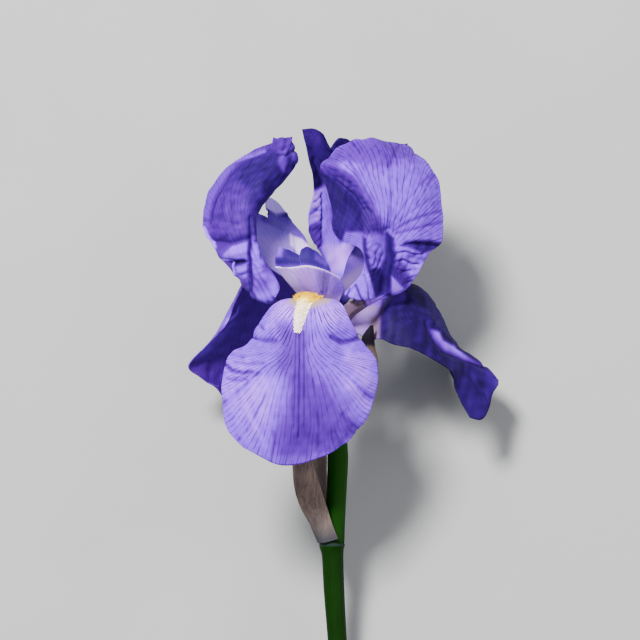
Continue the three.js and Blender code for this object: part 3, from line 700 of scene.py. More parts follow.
back_standard_ribs = [base_rib(AZIMUTH["back_standard"], 23, PETAL_RING_RADIUS), *rib_table("""
7.6 5 -8.4, 5.4 5 -9, 3.2 5 -8.2
9.6 13 -11.4, 6 13 -12.6, 2.4 13 -11
14 21 -13, 10 21 -15, 6.6 21 -15.4, 3.6 21 -14.2, 1.2 21 -12.2
18 29 -14, 13 29 -17.4, 7.6 28.6 -18.4, 2 28.6 -16.4, -2.8 29 -12.8
22.6 37.6 -14.6, 16 38 -19.6, 8.4 37.6 -21.4, 2 37.6 -18.8, -4 38 -14.2
26.8 46.6 -14.6, 19 47 -20.6, 10 47 -23, 3 46.8 -20.6, -2.2 46 -17.4
30.4 56 -13.4, 21 57 -19.6, 11 57 -22.4, 2.6 57 -20, -4 57 -17
30.6 61.8 -11, 21 61 -16, 12.4 61.4 -19, 6.8 64.6 -18.8, 3.6 60.4 -18, 1.4 65.2 -17, -2 67.4 -15.6,
-6.2 67.2 -14
""")]
print("ribs of the falls:", *map(len, (front_fall_ribs, right_fall_ribs, left_fall_ribs)))
print("ribs of the standards:", *map(len, (left_standard_ribs, right_standard_ribs, back_standard_ribs)))

# %% [markdown]
# ## Falls
# A fall narrows to a haft at its base and opens into a broad blade with a soft, wavy margin. It could be
# sculpted by brush in the viewport. Here the same brushes are small functions: line and patch give a mask,
# which either paints the tone or raises the sheet, so every crease gets its relief and its painted shade
# together.

# %% Brushes for ruffles, creases and crumples
FALL_THICKNESS = 0.45
STANDARD_THICKNESS = 0.4
FINISHES = {
    "fall": (FALL_THICKNESS, fall_under, fall_upper),
    "standard": (STANDARD_THICKNESS, standard_outer, standard_inner),
}
# Painted shade: crumpled creases and crepe hollows are painted deeper, and the pillows and bumps between them
# paler, as painted light.
CREASE_PAINTED_SHADE = 0.075  # how much deeper the tone gets in a crease
DIMPLE_PAINTED_SHADE = 0.035
CREASE_SETS = 4  # how many directions of creases cross in crumpled tissue


def petal_piece(node, sheet, kind):
    """The piece for a fall or a standard, which replaces a node."""
    thickness, *materials = FINISHES[kind]
    sheet_piece(f"{node}_petal", sheet, thickness, materials, node)


def margin_ruffle(sheet, waves, height, seed):
    """Waves that grow towards the free edge, uneven in length and height."""
    angle = np.arctan2(sheet.s, sheet.t - 0.5 + TINY)
    uneven = ripples(sheet.points, 14, seed)
    wave = np.sin(waves * angle + 1.4 * uneven + seed)
    return height * sheet.margin() ** 5 * (wave + 0.5 * ripples(sheet.points, 5, seed + 1))


def crumple(sheet, mask, direction, spacing, height, seed):
    """Crushed tissue: soft pillows between sharp creases, which run roughly across a direction and come and
    go. The creases get painted shade, deeper than the pillows, which get painted light."""
    random = np.random.default_rng(seed)
    lean = math.atan2(direction[1], direction[0])
    pillows = np.zeros(sheet.s.shape)
    for _ in range(CREASE_SETS):
        angle = lean + random.normal(0, 0.5)
        size = spacing * random.uniform(0.8, 1.7)
        phase = np.pi * (sheet.points @ np.array([math.cos(angle), math.sin(angle), 0.3])) / size
        phase += 1.5 * ripples(sheet.points, size * 2, random.integers(1000))
        amount = np.clip(0.45 + 0.8 * ripples(sheet.points, size * 2.4, random.integers(1000)), 0, 1.2)
        pillows += amount * (np.abs(np.sin(phase)) - 0.6)
    # painted shade in the creases and painted light on the pillows
    sheet.tone = sheet.tone - CREASE_PAINTED_SHADE * mask * pillows
    return height * mask * pillows


def crepe(sheet, size, height, seed):
    """The fine, dimpled unevenness of thin tissue, raised, with painted shade in its hollows and painted
    light on its bumps.
    """
    dimples = ripples(sheet.points, size, seed, count=12) * rise(sheet.t, 0.2, 0.2)
    # painted shade in the hollows and painted light on the bumps
    sheet.tone = sheet.tone - DIMPLE_PAINTED_SHADE * dimples
    return height * dimples


# %% Front fall
front_fall = petal = Sheet(front_fall_ribs, 180, 150, toward=-1, tone=0.3)
blade = rise(petal.t, 0.35, 0.2)
petal.paint_patches("""
0.02 1.8: -17 3, -14 8, -9 8, -9 -1, -13 -3, -19 -3
0.08 1.8: -3 1, -1 7, 8 8, 9.5 1, 6 -2, 0 -3
0.6 2.2: -15 -1, -9 -1, -9 -22, -14 -18
0.14 3.0: -34 -11, -24 -12, -15 -22, -15 -42, -24 -42, -35 -28
0.56 1.6: -9.5 -4, -4.5 -4, -3.5 -50, -11 -50
0.66 4.0: -4 -20, 1 -23, 8 -32, 12 -40, 5 -46, -12 -48, -12 -34
0.14 2.5: 9 -10, 18 -12, 20 -24, 17 -33, 12 -30, 7 -18
0.6 2.4: -17 -39, -10 -34, -9 -49, -15 -47
0.3 1.6: -18 -47.5, -4 -48, 6 -45.5, 8 -47, -4 -51, -13 -52
0.35 0.8: 6 -38.5, 9 -41, 9.5 -43, 6.5 -42
""")
# The tones given with these grooves and folds are painted shade in them.
petal.raise_by(petal.carve("""
0.42 0.35 0.84: -7.2 -3, -7.2 -16, -7.3 -28, -7.6 -41
0.3 0.2 0.82: -8.4 -4, -8.7 -18, -9.0 -30, -9.2 -38
0.3 0.2 0.82: -5.7 -4, -5.5 -18, -5.5 -28, -5.7 -37
0.26 0.1: -10.4 -7, -11.4 -20, -12.6 -32
0.3 0.1: -3.8 -4, -3.4 -16, -2.4 -28, 0.5 -40
0.75 0.9 0.6: -23.5 -6.4, -20 -7.1, -15.5 -7.2
1.5 -0.6: -22 -4.2, -17 -4.4
0.6 0.35 0.6: -20.6 -2.2, -19.4 -3.6
0.8 1.0 0.72: 4 -6, 8 -7.8, 11.5 -7.2, 15.5 -5.4
1.9 -0.7 0.32: 5 -3.6, 12 -3.4
0.6 0.7 0.7: -33.5 -15.5, -31 -17.8, -27 -18.6, -24 -18.2
0.45 0.4 0.6: -32.5 -20.6, -29 -21.4, -25.5 -20.8
0.5 0.3 0.4: -30 -14.8, -25 -15.6, -20 -15.2
0.55 0.35 0.4: -30 -20.4, -26 -20, -21 -18.6
0.5 0.25 0.35: -31 -12.2, -27 -13, -23 -12.2
0.9 0.4 0.6: 8 -33.5, 11 -36.6, 13.6 -38.6
0.6 0.3 0.62: 5.5 -39, 7.5 -43.5
0.5 0.3 0.5: -16.4 -39, -16.0 -46
0.6 0.2 0.55: 0.5 -20, 2.6 -26, 6 -33, 10 -39
"""))
petal.raise_by(margin_ruffle(petal, 5, 0.7, 3) * blade + 0.22 * ripples(petal.points, 6, 11) * blade
               + crepe(petal, 1.6, 0.07, 12))
throat = petal.patch("-11 12, -11 6, -8.6 4, -2.5 4, 3.5 6, 4 12", 0.8)
petal.warm = 0.85 * throat
haft_veins = np.maximum(petal.patch("-20 -2, -17 6, -10 9, -9 0, -12 -7", 1.5),
                        petal.patch("-3 2, 0 8, 8 8, 10 0, 4 -6", 1.5))
petal.veiny = petal.veiny * (1 + 0.9 * haft_veins)
petal.calm(throat, 0.2)
petal.calm(petal.patch("-16 -24, 10 -22, 14 -38, 0 -48, -14 -48", 4.0), 0.5)
petal.calm(petal.patch("-9.4 -4, -4.6 -4, -4.8 -46, -9.8 -46", 0.4), 0.2)
petal_piece("front_fall", petal, "fall")

# %% Right fall
# The deep tone of the right fall is partly its own dark violet and partly painted shade.
right_fall = petal = Sheet(right_fall_ribs, 160, 120, toward=-1, tone=0.97)
blade = rise(petal.t, 0.28, 0.15)
# Painted light: the 0.7 patch beside the haft lightens where the right standard's shadow falls, and the thin
# 0.12 band along the folded edge is a painted highlight.
petal.paint_patches("""
0.2 0.4: 6 9, 22.2 9, 21.4 4, 21.0 -9, 8 -9
0.62 1.0: 18 1, 21.6 1, 21.4 -6, 16.5 -6
0.95 1.0: 21.8 8, 25 7, 25 -7, 21.6 -6
0.7 0.9: 21.8 8.5, 23 9.8, 29.4 10.6, 30 6.6, 26 5, 22.4 3.6
0.42 0.8: 16.2 5.2, 17 3.2, 21.4 3.6, 22 6.4, 21 8
0.9 1.5: 33 13, 42 10, 49 -8, 40 -2, 38 4
0.84 2.0: 53 -15, 57 -15.5, 65 -20, 60 -27, 57 -22
0.9 2.0: 48 -17, 55 -25, 60 -28, 60 -37, 48 -34
0.12 0.35: 37.4 -0.6, 38.6 -3, 41.4 -4.6, 42.8 -7.4, 46.4 -9.4, 50 -12.6, 56.5 -15.6, 50 -13.9,
44.4 -11.4, 40.6 -8, 38.2 -4.4
""", 0.95)
# The tones given with these folds are painted shade in them.
petal.raise_by(petal.carve("""
0.9 0.9 0.98: 37.2 -0.5, 39.5 -6.4, 43.6 -11.2, 50 -14.2, 57 -16.4
1.2 -0.8: 38 0.5, 42 -4, 47 -8.6
0.6 0.5 0.9: 40.5 4.5, 41 0, 40 -2
1.0 0.5 0.9: 51 -16, 54 -22, 58 -26
1.4 0.2: 27 6, 27.5 -2, 26 -8
1.6 -0.2: 31 8, 32.5 0, 32 -8
"""))
petal.raise_by(margin_ruffle(petal, 5, 0.7, 5) * blade + 0.25 * ripples(petal.points, 8, 15) * blade
               + crepe(petal, 2.0, 0.06, 16))
petal.calm(1.0, 0.15)
petal.warm = 0.45 * petal.patch("8 5, 21 5, 21 -8, 10 -6", 0.6)
petal.warm += 0.7 * petal.patch("7 8, 8 4, 10 -0.3, 16.5 5.2, 15 9", 0.4)
petal_piece("right_fall", petal, "fall")

# %% Left fall
left_fall = petal = Sheet(left_fall_ribs, 150, 110, toward=1, tone=0.4)
blade = rise(petal.t, 0.3, 0.15)
# Painted light and shade: the lower corner (0.6) is painted shade, the strip along the upper left margin
# (0.2) is painted light where that edge catches it, and the white sliver (0.0) is a painted highlight.
petal.paint_patches("""
0.6 1.6: -46 -15, -46 -18, -38 -24, -33 -27, -33 -17, -38 -15
0.2 1.2: -47 -15, -40 -8, -33 -2, -30 -1, -36 -8, -42 -13
0.0 0.35: -33.8 -1.6, -32.4 0.6, -29.6 2.6, -28.4 5.4, -28.6 2.2, -30.6 0.4
""", 0.9)
# The free edge is painted deeper as painted shade, the left standard's shadow carried on to it, except at the
# painted highlight.
painted_highlight_rim = petal.patch("-34.6 -2.4, -32.4 1, -29.4 5.4, -27 5, -29 0, -33 -3", 0.4)
petal.paint(0.55, rise(petal.s, 0.88, 0.1) * rise(petal.t, 1, -0.2) * (1 - painted_highlight_rim), 0.8)
petal.raise_by(petal.carve("""
1.0 -0.5: -24 8, -26 -2, -30 -12, -35 -22
0.9 0.4: -28 4, -31 -3, -37 -10, -43 -16
1.1 0.35: -38 -12, -39 -20
"""))
petal.raise_by(margin_ruffle(petal, 5, 0.7, 8) * blade + 0.25 * ripples(petal.points, 8, 18) * blade
               + crepe(petal, 2.0, 0.06, 19))
petal.warm = 0.6 * rise(petal.t, 0.3, -0.1)
petal_piece("left_fall", petal, "fall")

# %% [markdown]
# ## Standards
# The standards rise from narrow claws and arch over the middle of the flower. Their tissue is thinner than
# that of the falls, so it crumples near the claws, where each blade bunches up, and its margins curl. The
# left one is seen nearly edge on and shows its rolled margin, and the right one shows its broad outer face.

# %% Left standard
petal = Sheet(left_standard_ribs, 200, 140, toward=1, tone=0.66)
blade = rise(petal.t, 0.22, 0.12)
# The deep patches on this face are partly the standard's own violet and partly painted shade where the face
# turns away from the light.
petal.paint_patches("""
0.93 2.2: -31 50, -34 44, -24 42, -20 40, -12 50, -7 57, -17 59, -28 54
0.7 2.2: -38 36, -36 44, -30 50, -25 46, -26 34, -37 30
0.82 1.0: -25 47, -19 44, -22 38, -23 30, -25.4 29
0.8 0.8: -38 30, -25 30.5, -25 27.4, -31 26, -37 26.6
0.6 0.7: -37.5 26.5, -32 25.4, -33.5 22.6, -35.5 22
0.14 0.4: -33.8 22.2, -31 25.6, -25.3 27.4, -25.2 20.9, -29 21.2
1.0 0.35: -31.4 21.2, -26.2 21.4, -27.4 18.9, -30 18
0.25 0.7: -30 18.6, -25.2 20.4, -25.2 14.4, -28 14.2
0.25 0.6: -23.8 29, -21.6 24, -19.2 18, -22 16, -23.8 16
0.22 0.7: -23 15.6, -19 17, -15 14, -14.4 9, -17.5 5.8, -22.6 7.4
0.62 1.4: -23 15, -18 14.8, -17.8 10.6, -22.4 9.6
0.75 0.6: -27 14, -23.6 14, -23.6 8.4, -26 9
0.62 0.6: -14.6 11.2, -8 9.6, -8 6, -14 6.6
0.45 0.7: -14 59, -11.6 59, -12.6 52, -14.6 54
0.45 0.5: -9.6 58.6, -7 57.6, -8.4 55.6, -9.8 56
""", 0.92)
# The tones given with these grooves are painted shade in them.
height = petal.carve("""
0.75 0.9 0.95: -24.4 36, -24.5 28, -24.6 18, -24.4 10
1.0 0.9: -37 27.6, -31 26.8, -25 28.4
1.6 -1.3: -34 23, -29 23.6, -25.4 24.4
0.9 1.2 1.0: -31 20.2, -26.4 20.4
1.2 -0.6: -29 16.6, -26 17.4
0.5 0.2: -38.6 34.6, -33 34.2, -28 33.2
0.5 0.2: -38 32, -33 31.4, -29 31.2
0.9 -0.6: -20 49, -14 55, -11.6 60
0.6 0.6 0.9: -15.6 58.6, -12 57.6, -8.6 59.4
0.6 0.5 0.8: -13 60, -12.4 64
""")
strip = petal.patch("-24 30, -21.8 26, -18.4 17, -24 16", 0.8)
lobe = petal.patch("-23.4 16, -18 18, -14 13, -14 8, -18 5, -24 7", 0.8)
low_left = petal.patch("-30 21, -25 21, -25 12, -29 13", 0.8)
mid_left = petal.patch("-39 40, -36 47, -28 47, -26 32, -38 30", 2.0)
height += crumple(petal, strip, (0.25, 1, 0), 1.9, 0.6, 51)
height += crumple(petal, lobe, (0.6, 0.5, 0), 2.2, 0.5, 53)
height += crumple(petal, low_left, (0.3, 1, 0), 2.0, 0.55, 55)
# Fine ripples on the middle left: raised, and painted paler on their crests and deeper in their hollows, as
# painted light and shade.
fine = ripples(petal.points, 1.5, 57)
petal.tone = petal.tone - 0.06 * fine * mid_left
height += 0.11 * fine * mid_left
petal.calm(1.0, 0.45)
petal.calm(np.maximum(np.maximum(strip, lobe), low_left), 0.25)
petal.raise_by(height + 0.2 * ripples(petal.points, 5, 23) * blade + crepe(petal, 1.5, 0.09, 24))
petal.raise_by(margin_ruffle(petal, 7, 0.28, 21) * blade)
rolled = rise(-petal.s, 0.9, 0.1) * rise(petal.t, 0.5, 0.06)
petal.raise_by(1.5 * rolled**1.5)
# Painted light and shade along the rolled margin: the rim (0.5 and 0.4) is painted paler as the light that
# catches it, and the thin line just inside it (0.85) is a painted shadow cast by the rim.
for path, width, tone in (
    ("-40 34, -39.6 38, -38.2 42.5, -36.2 46.6, -33.2 51, -30.4 54", 1.0, 0.5),
    ("-30 54, -26 56, -19 58.6", 0.4, 0.4),
    ("-38 33, -37.5 38, -36 42.2, -34 46, -31 50.4, -28 53.2, -24 55.4, -18.5 57.4", 0.32, 0.85),
    ("-40.4 33, -38.4 28.6, -36.6 25.4", 0.6, 0.1),
    ("-34.6 21.6, -31 21, -28.8 15", 0.4, 0.12),
    ("-41 34.6, -37.6 34.8", 0.8, 0.74),
    ("-41 32.6, -38 33", 0.4, 0.6),
):
    petal.paint(tone, petal.line(path, width, 2), 0.95)
petal_piece("left_standard", petal, "standard")

# %% Right standard
petal = Sheet(right_standard_ribs, 200, 160, toward=1, tone=0.33)
blade = rise(petal.t, 0.22, 0.12)
# Painted light and shade among these patches: the pale line along the upper left edge (0.18) is painted light
# where that edge catches it; the curled-in left part (0.84) and its flap (0.93) are partly the standard's
# deeper violet and partly painted shade; the dark strip along the claw (the first 0.95 patch), the dark spot
# low on the right (0.8) and the dark band across the lower right (the last 0.93 patch) are painted shadow in
# folds.
petal.paint_patches("""
0.6 2.4: 2 55, 8 62, 20 64, 30 62, 34 57, 22 55, 12 54
0.18 1.2: 4 51.6, 8 55.4, 14 54.4, 11 50.4, 8 50
0.32 3.0: 21 40, 24 52, 31 52, 36 44, 33 34, 26 33
0.6 1.4: 21.5 52, 20.5 58, 22 62.6, 28 62, 25.5 57
0.84 0.9: 0.5 54.4, 6 53.4, 11 50.6, 15.4 45, 18.4 40, 21.4 35, 22.2 30, 19 30.4, 15.4 29.4, 8 44
0.93 0.5: 0 53.4, 3 51, 7 47.4, 11 44, 14 40, 15 36, 15.5 31, 9.3 30.7, 7.3 27.2, 5 29, 4 33, 3 40,
1.6 47
0.42 0.8: 15.8 29, 18.6 30.4, 22 29, 22.4 24, 21.6 18.6, 19.4 17.6, 17.6 19, 16.6 24
0.95 0.4: 22.8 31, 26 28.6, 26.9 22, 26.5 15, 25 8.4, 18 8.4, 18 18.2, 21.6 18.2, 22.6 22
0.95 0.4: 15 29, 16.2 28.4, 17.2 21, 18.4 16.4, 19.4 10.6, 18.2 11, 17 16.4, 15.6 21
0.22 0.4: 7.4 10.4, 8.2 7.4, 13 5, 17.4 4.8, 19.4 7, 18.4 12, 16.6 17, 14.8 15.6
0.24 1.0: 27 25, 36.5 24.6, 36.5 14.6, 30 14, 27 20
0.8 0.8: 25.4 17, 28 21, 30 18, 32 14, 29 10, 26 14
0.12 0.4: 25.2 15.4, 25 9.2, 29.6 10.8
0.93 0.45: 29.6 26.4, 33 28, 38 28, 42.4 27, 42.4 24.4, 38 24.2, 35.5 23.4, 32 25.4
0.0 0.4: 32.6 19.8, 34.6 19.2, 34 18.2
""", 0.92)
# The tones given with these grooves and folds are painted shade in them.
height = petal.carve("""
1.4 1.2: 23 31, 24 22, 22.4 10
0.5 0.4 0.5: 22.8 31, 18 41, 12 52, 9 58
0.5 0.25: 23.2 32, 21.5 42, 19.5 52, 18 61
0.5 0.3 0.5: 23.6 32, 25 44, 24.4 55, 23.4 62
0.7 0.35 0.7: 24 54, 26.4 59, 28.6 62
0.5 0.25: 24 32, 28 43, 31 52, 33 58
0.5 0.28 0.45: 24.4 32, 30 41, 36 48, 40 52
0.5 0.28: 25 31.6, 31 37, 37 41, 42 44
0.6 0.35 0.55: 25.4 31, 31 34.4, 37 36.6, 42.4 38
0.6 0.35 0.5: 26 30, 32 31.4, 38 33, 42.6 34
1.0 1.2 0.86: 30 26.4, 36 26.4, 42.4 25.8
1.2 -0.7: 31 24, 36 22.4
0.35 0.45 0.8: 26.8 23.5, 30 24.1, 33 23.2, 35.6 23.2
0.35 0.45 0.8: 26.8 20.6, 29.5 21, 32 19.7, 34.6 19.6
0.35 0.4 0.85: 27.2 17.8, 29.4 16.8, 31.6 17.5
0.3 0.3 0.75: 28 26, 31 25.8, 33.6 24.8
0.45 0.8 0.85: 12.6 12, 13.8 9, 15.6 5.2
0.4 0.5 0.6: 10.4 11, 9.6 8.6, 10 6
0.4 0.5 0.5: 15.6 15.6, 17 11, 17.2 6
0.5 0.5 0.75: 8 8, 10 6.2, 13 5.2, 16 5.4
""")
panel = petal.patch("15.6 31, 22.6 30.6, 22.6 22, 21 16.6, 17.6 17, 16 23", 0.8)
low_right = petal.patch("26 28, 37 25, 37 14, 29 12, 25.6 20", 1.0)
lobe = petal.patch("7 10, 9 6, 17 4, 20 8, 17 18, 14 15", 0.8)
curled = petal.patch("1 54.4, 8 52.6, 14 47, 19 40, 22 33, 18 32, 14 41, 7 48", 1.0)
height += crumple(petal, panel, (0.3, 1, 0), 1.8, 0.4, 61)
height += crumple(petal, low_right, (-0.3, 1, 0), 2.4, 0.4, 63)
height += crumple(petal, lobe, (1, -0.3, 0), 2.1, 0.25, 65)
height += crumple(petal, curled, (0.5, 1, 0), 2.4, 0.35, 67)
flap = petal.patch("0 54, 3 51, 7 47.4, 14 40, 15.5 31, 9 30, 7 27, 3 40", 0.8)
root = rise(petal.t, 0.25, -0.03)
petal.paint(0.06, root * petal.patch("15.4 9, 15.6 4.4, 17 3, 24 7, 24 10", 0.6), 0.95)
petal.warm = 0.95 * root * petal.patch("6 9, 6 -5, 13 -2, 16.4 4.4, 15.8 9", 0.6)
claw = petal.patch("22.8 31, 26 28.6, 26.9 22, 25 8.4, 18 8.4, 18 18.2", 0.8)
petal.calm(np.maximum(flap, claw), 0.2)
petal.calm(np.maximum(np.maximum(panel, low_right), curled), 0.35)
petal.calm(lobe, 0.6)
petal.raise_by(height + 0.22 * ripples(petal.points, 5, 33) * blade
               + crepe(petal, 1.6, 0.06, 34) * (1 - 0.8 * flap))
petal.raise_by(margin_ruffle(petal, 9, 0.4, 31) * blade)
petal_piece("right_standard", petal, "standard")

# %% Back standard
# The back standard's tone is partly its own violet and partly painted light and shade: its deep tone is
# painted shade from the petals in front of it, and its lower lobe (0.24 and 0.0 below) is painted pale where
# light reaches in between them.
petal = Sheet(back_standard_ribs, 160, 130, toward=-1, tone=0.92)
blade = rise(petal.t, 0.25, 0.12)
petal.paint_patches("""
0.24 0.7: -1 45, 1.6 47, 3.2 46, 4.6 33, 7 27, 16 28, 16 22, 5 12, 0.5 23, 0.6 38
0.0 2.0: 0 25, 6 27, 15 27, 12 18, 4 16
0.04 0.8: -5 45, 0.6 46, 0.4 34, -4 33
0.66 0.7: -3.4 33, -0.4 34, 0.6 28, -0.4 24.6, -3 29
0.76 1.4: -5.4 66, -1 66, 1.4 63, -1.6 58
""", 0.92)
# The tones given with these grooves are painted shade in them.
height = petal.carve("""
0.6 0.7 0.5: 0.6 44, 0.9 36, 0.6 29
0.6 0.5 0.8: -3.6 31, -0.6 32
0.5 0.4 0.6: -3.4 37, -0.8 38.4
0.9 0.6: -2 56, 1 48
""")
ruffle = petal.patch("-5 43, 0.8 44, 1 25, -3 25", 0.8)
height += crumple(petal, ruffle, (-0.3, 1, 0), 2.1, 0.35, 71)
petal.calm(ruffle, 0.3)
petal.raise_by(height + 0.22 * ripples(petal.points, 6, 43) * blade + crepe(petal, 1.7, 0.08, 44))
petal.raise_by(margin_ruffle(petal, 8, 0.6, 41) * blade)
petal_piece("back_standard", petal, "standard")

# %% [markdown]
# ## Style arms
# Over each fall a stiff, petal-like style arm curves out, shelters the anther under it, and ends in a lip.
# Past the lip stands a crest of two lobes. The front arm is seen from outside, so its crest is made as two
# sheets of its own that stand just behind the lip.

# %% Style arms
STYLE_RING_RADIUS = 1.95
STYLE_THICKNESS = 0.7


def style_piece(name, sheet, node, skin=style_skin):
    sheet_piece(name, sheet, STYLE_THICKNESS, (skin, skin), node)



front_arm_ribs = [base_rib(AZIMUTH["front"], 34, STYLE_RING_RADIUS), *rib_table("""
-0.6 3.1 5, 2.2 3 5.4, 5 3.1 6.2
-5 7 8.4, 0.9 6 9.8, 6.8 7 9.8
-9.6 11.8 10.2, -5 11 13.4, -1 10.4 14, 3.4 10.6 13.4, 8.2 10.6 10.6
-13.6 16.4 11.6, -8.8 16 15.4, -3.4 16 16.4, 2 15.2 15.4, 7.6 13.4 12
-15.6 18.6 12, -10 18.3 16.2, -4.4 19 17.4, 1.2 17.6 16.2, 7 14.8 12.4
""")]
left_crest_ribs = rib_table("""
-15.2 18.2 11.6, -10.8 18 15.2, -6.2 18.4 16.3
-15.6 21.4 12, -11.2 21.4 15.4, -6.8 20.8 16
-15.2 24 11.6, -11.6 23.4 14.2, -7.2 22.4 14.8
-14.4 25.6 11, -12.4 24.8 12.4, -9.6 23.6 13.4
""")
right_crest_ribs = rib_table("""
-7.2 18.6 15.8, -2 17.8 16.2, 3.8 16.2 13.8
-7.2 21.6 15.6, -2.4 21 16, 3.2 18.4 13.6
-6.8 24 14.6, -3.4 23.6 15, 1.4 20.8 13.2
-6 25 13.4, -4.2 25.2 13.4, -1.6 23.9 12.8
""")
right_arm_ribs = [base_rib(AZIMUTH["right"], 34, STYLE_RING_RADIUS), *rib_table("""
8.2 4.6 1.4, 7.6 5 -0.8, 6.6 5.8 -3
12.4 10.4 2.4, 10.6 11.6 -1.6, 7.8 13 -5
16.2 16.6 1.6, 13.6 18.2 -2.8, 9.4 20.2 -6
18.2 22 0.6, 15.8 23.8 -3.4, 12.2 25 -6.4
19 27 -0.6, 17.4 28.2 -4.2, 14.6 28.6 -7.2
18 31.4 -3, 17.4 31.8 -5.4, 16 31.6 -7.6
""")]
left_arm_ribs = [base_rib(AZIMUTH["left"], 34, STYLE_RING_RADIUS), *rib_table("""
1.6 7 -6.4, -1.8 7.4 -5.4, -3.4 6.8 -2.2
-1 15 -11.4, -6 15.4 -9.6, -11.6 14.4 -4.6
-2.6 22.6 -14.6, -10.6 23.2 -13.4, -19.6 20.2 -7
-5.2 29 -17.2, -13.4 30.2 -15.8, -24 28.4 -9
-8.4 33 -17.4, -14.8 33.6 -16, -24 33 -10
-11.2 36.2 -16.4, -12.6 38.8 -15.4, -15 41.6 -14.2, -18 43.2 -13.2, -19.2 41 -13, -18 36.2 -13.4,
-19.8 36.6 -12.4, -23.4 38.6 -10.2
""")]

front_arm = Sheet(front_arm_ribs, 90, 90, toward=1, tone=0.34, passes=6)
# Painted light: the left part of the front arm is painted paler, over the shade that falls on it there.
front_arm.paint(0.12, front_arm.patch("-15.6 18.4, -9 18, -6 10, -12 10", 2.0))
streak = front_arm.patch("-0.9 18, 3.4 16.6, 3 11, 1.2 9, -0.4 12", 1.2)
front_arm.paint(0.8, streak)
front_arm.paint(0.58, front_arm.patch("4 16, 9 14, 8 9, 4 8", 1.5))
front_arm.paint(0.0, front_arm.line("-15.8 18.7, -10 18.4, -4.4 19, 1.2 17.8, 7 15", 0.4), 1.0)
front_arm.warm = np.maximum(0.5 * front_arm.patch("-14 16, -9 9, 4 8, 3 5, -14 5", 1.6), 0.14 * streak)
front_arm.raise_by(front_arm.carve("""
0.5 -0.3: 0.8 17, 0.4 10.6
0.5 0.15: -4 17.6, -2.6 11
0.45 0.15: 3.6 15.6, 2.6 10
0.6 0.15: -9.4 17, -6 11
""") + 0.12 * ripples(front_arm.points, 4, 81))
style_piece("front_style_petal", front_arm, "front_style_arm")

for side_name, crest_ribs, seed, spot in (
    ("left", left_crest_ribs, 83, "0.4 0.8: -15.6 22, -14.6 26, -12.6 25.6, -13.2 22"),
    ("right", right_crest_ribs, 87, "0.62 0.8: -2 23.6, 3 19.6, 2 18.4, -2 21"),
):
    crest = Sheet(crest_ribs, 50, 60, toward=1, tone=0.9, passes=4)
    crest.paint_patches(spot)
    crest.paint(0.5, rise(crest.t, 0.2, -0.2))
    crest.paint(0.55, crest.margin(0.7) ** 16, 0.6)
    crest.raise_by(0.2 * crest.margin(0.7) ** 4 * np.sin(6 * crest.s + 4 * crest.t + seed))
    crest.raise_by(0.16 * ripples(crest.points, 3.5, seed))
    style_piece(f"front_style_crest_{side_name}", crest, "front_style_arm")

right_arm = Sheet(right_arm_ribs, 90, 70, toward=1, tone=0.76, passes=6)
right_arm.paint(0.85, right_arm.line("6.6 16.4, 8.6 20, 11.4 23.6, 15 26.4", 0.6))
# Painted light: the tip is painted paler where the right standard's shadow falls on it.
right_arm.paint(0.3, right_arm.patch("10.4 21.4, 14 28, 19 29, 18 21, 14 20.6", 1.8), 0.95)
right_arm.warm = 0.22 * right_arm.patch("6 13, 16 20, 16 14, 9 9", 2.0)
right_arm.raise_by(0.12 * ripples(right_arm.points, 5, 91))
style_piece("right_style_petal", right_arm, "right_style_arm")

left_arm = Sheet(left_arm_ribs, 100, 80, toward=1, tone=0.6, passes=6)
# Painted light: the white patch near the base (0.0) is painted as the lit top of the arm, and the pale tip
# (0.03), with the pale blue second colour laid on it, as light shining through the tip.
left_arm.paint_patches("""
0.36 2.0: -22 29, -11 29, -11 18, -20 17
0.0 0.4: -10.6 29.7, -6.6 28.5, -2.2 24.7, 0 21, -6.9 21, -8.8 24.1, -10.4 26
0.03 0.4: -19.8 40, -18.6 44.4, -14.6 43, -11.6 39, -12.6 37.6, -15.5 37.2, -18 38.6
""", 0.95)
left_arm.warm = (0.3 * left_arm.patch("-25 34, -10 34, -8 14, -24 14", 2.0)
                 + 0.5 * left_arm.patch("-20 40, -18.6 44.6, -14.6 43.4, -11.4 39, -15.5 36.4", 1.0))
# The tones given with these creases are painted shade in them.
left_arm.raise_by(left_arm.carve("""
0.8 0.6 0.72: -20 36, -16 33.6, -11.6 31
0.5 0.5 0.85: -18.4 38, -15.6 36.6, -12 36.8
0.6 0.5: -10.2 30, -9.6 24
""") + 0.15 * ripples(left_arm.points, 5, 93))
style_piece("left_style_petal", left_arm, "left_style_arm", left_style_skin)

# %% [markdown]
# ## Beards
# The beard is a brush of thick, blunt hairs along the middle of each haft: gold in the throat, cream
# further out. Hair curves would vanish in the exported model, so each hair is a slim four-sided cone. They
# stand on a low mound that follows the petal, and lean towards its tip.

# %% Beard material
HAIR_GLOW = 0.7  # stands in for the light that goes on scattering between the hairs

beard_skin, n = new_material("beard hair")
grain = n.noise(n.flower_mm(), 1.3, 2.0)
forward = n.math("MULTIPLY_ADD", n.math("SUBTRACT", grain, 0.5), 0.3, n.attribute("tone"), clamp=True)
lift = n.new("ShaderNodeVectorMath", {
    0: n.new("ShaderNodeAttribute", attribute_name="lift").outputs["Vector"],
    1: n.new("ShaderNodeNewGeometry").outputs["Normal"],
}, operation="ADD").outputs["Vector"]
hair_colour = n.ramp(forward, (
    (0.0, linear(0.72, 0.47, 0.003)), (0.34, linear(0.84, 0.66, 0.004)), (0.44, linear(0.96, 0.82, 0.16)),
    (0.54, linear(1.0, 0.94, 0.80)), (0.75, linear(1.0, 0.95, 0.90)), (1.0, linear(1.0, 0.94, 0.95)),
))
cream = n.span(forward, 0.4, 0.54)
yellowed = n.math("MULTIPLY", n.span(n.noise(n.flower_mm(), 1.7, 1.0), 0.6, 0.72, 0.0, 0.4), cream)
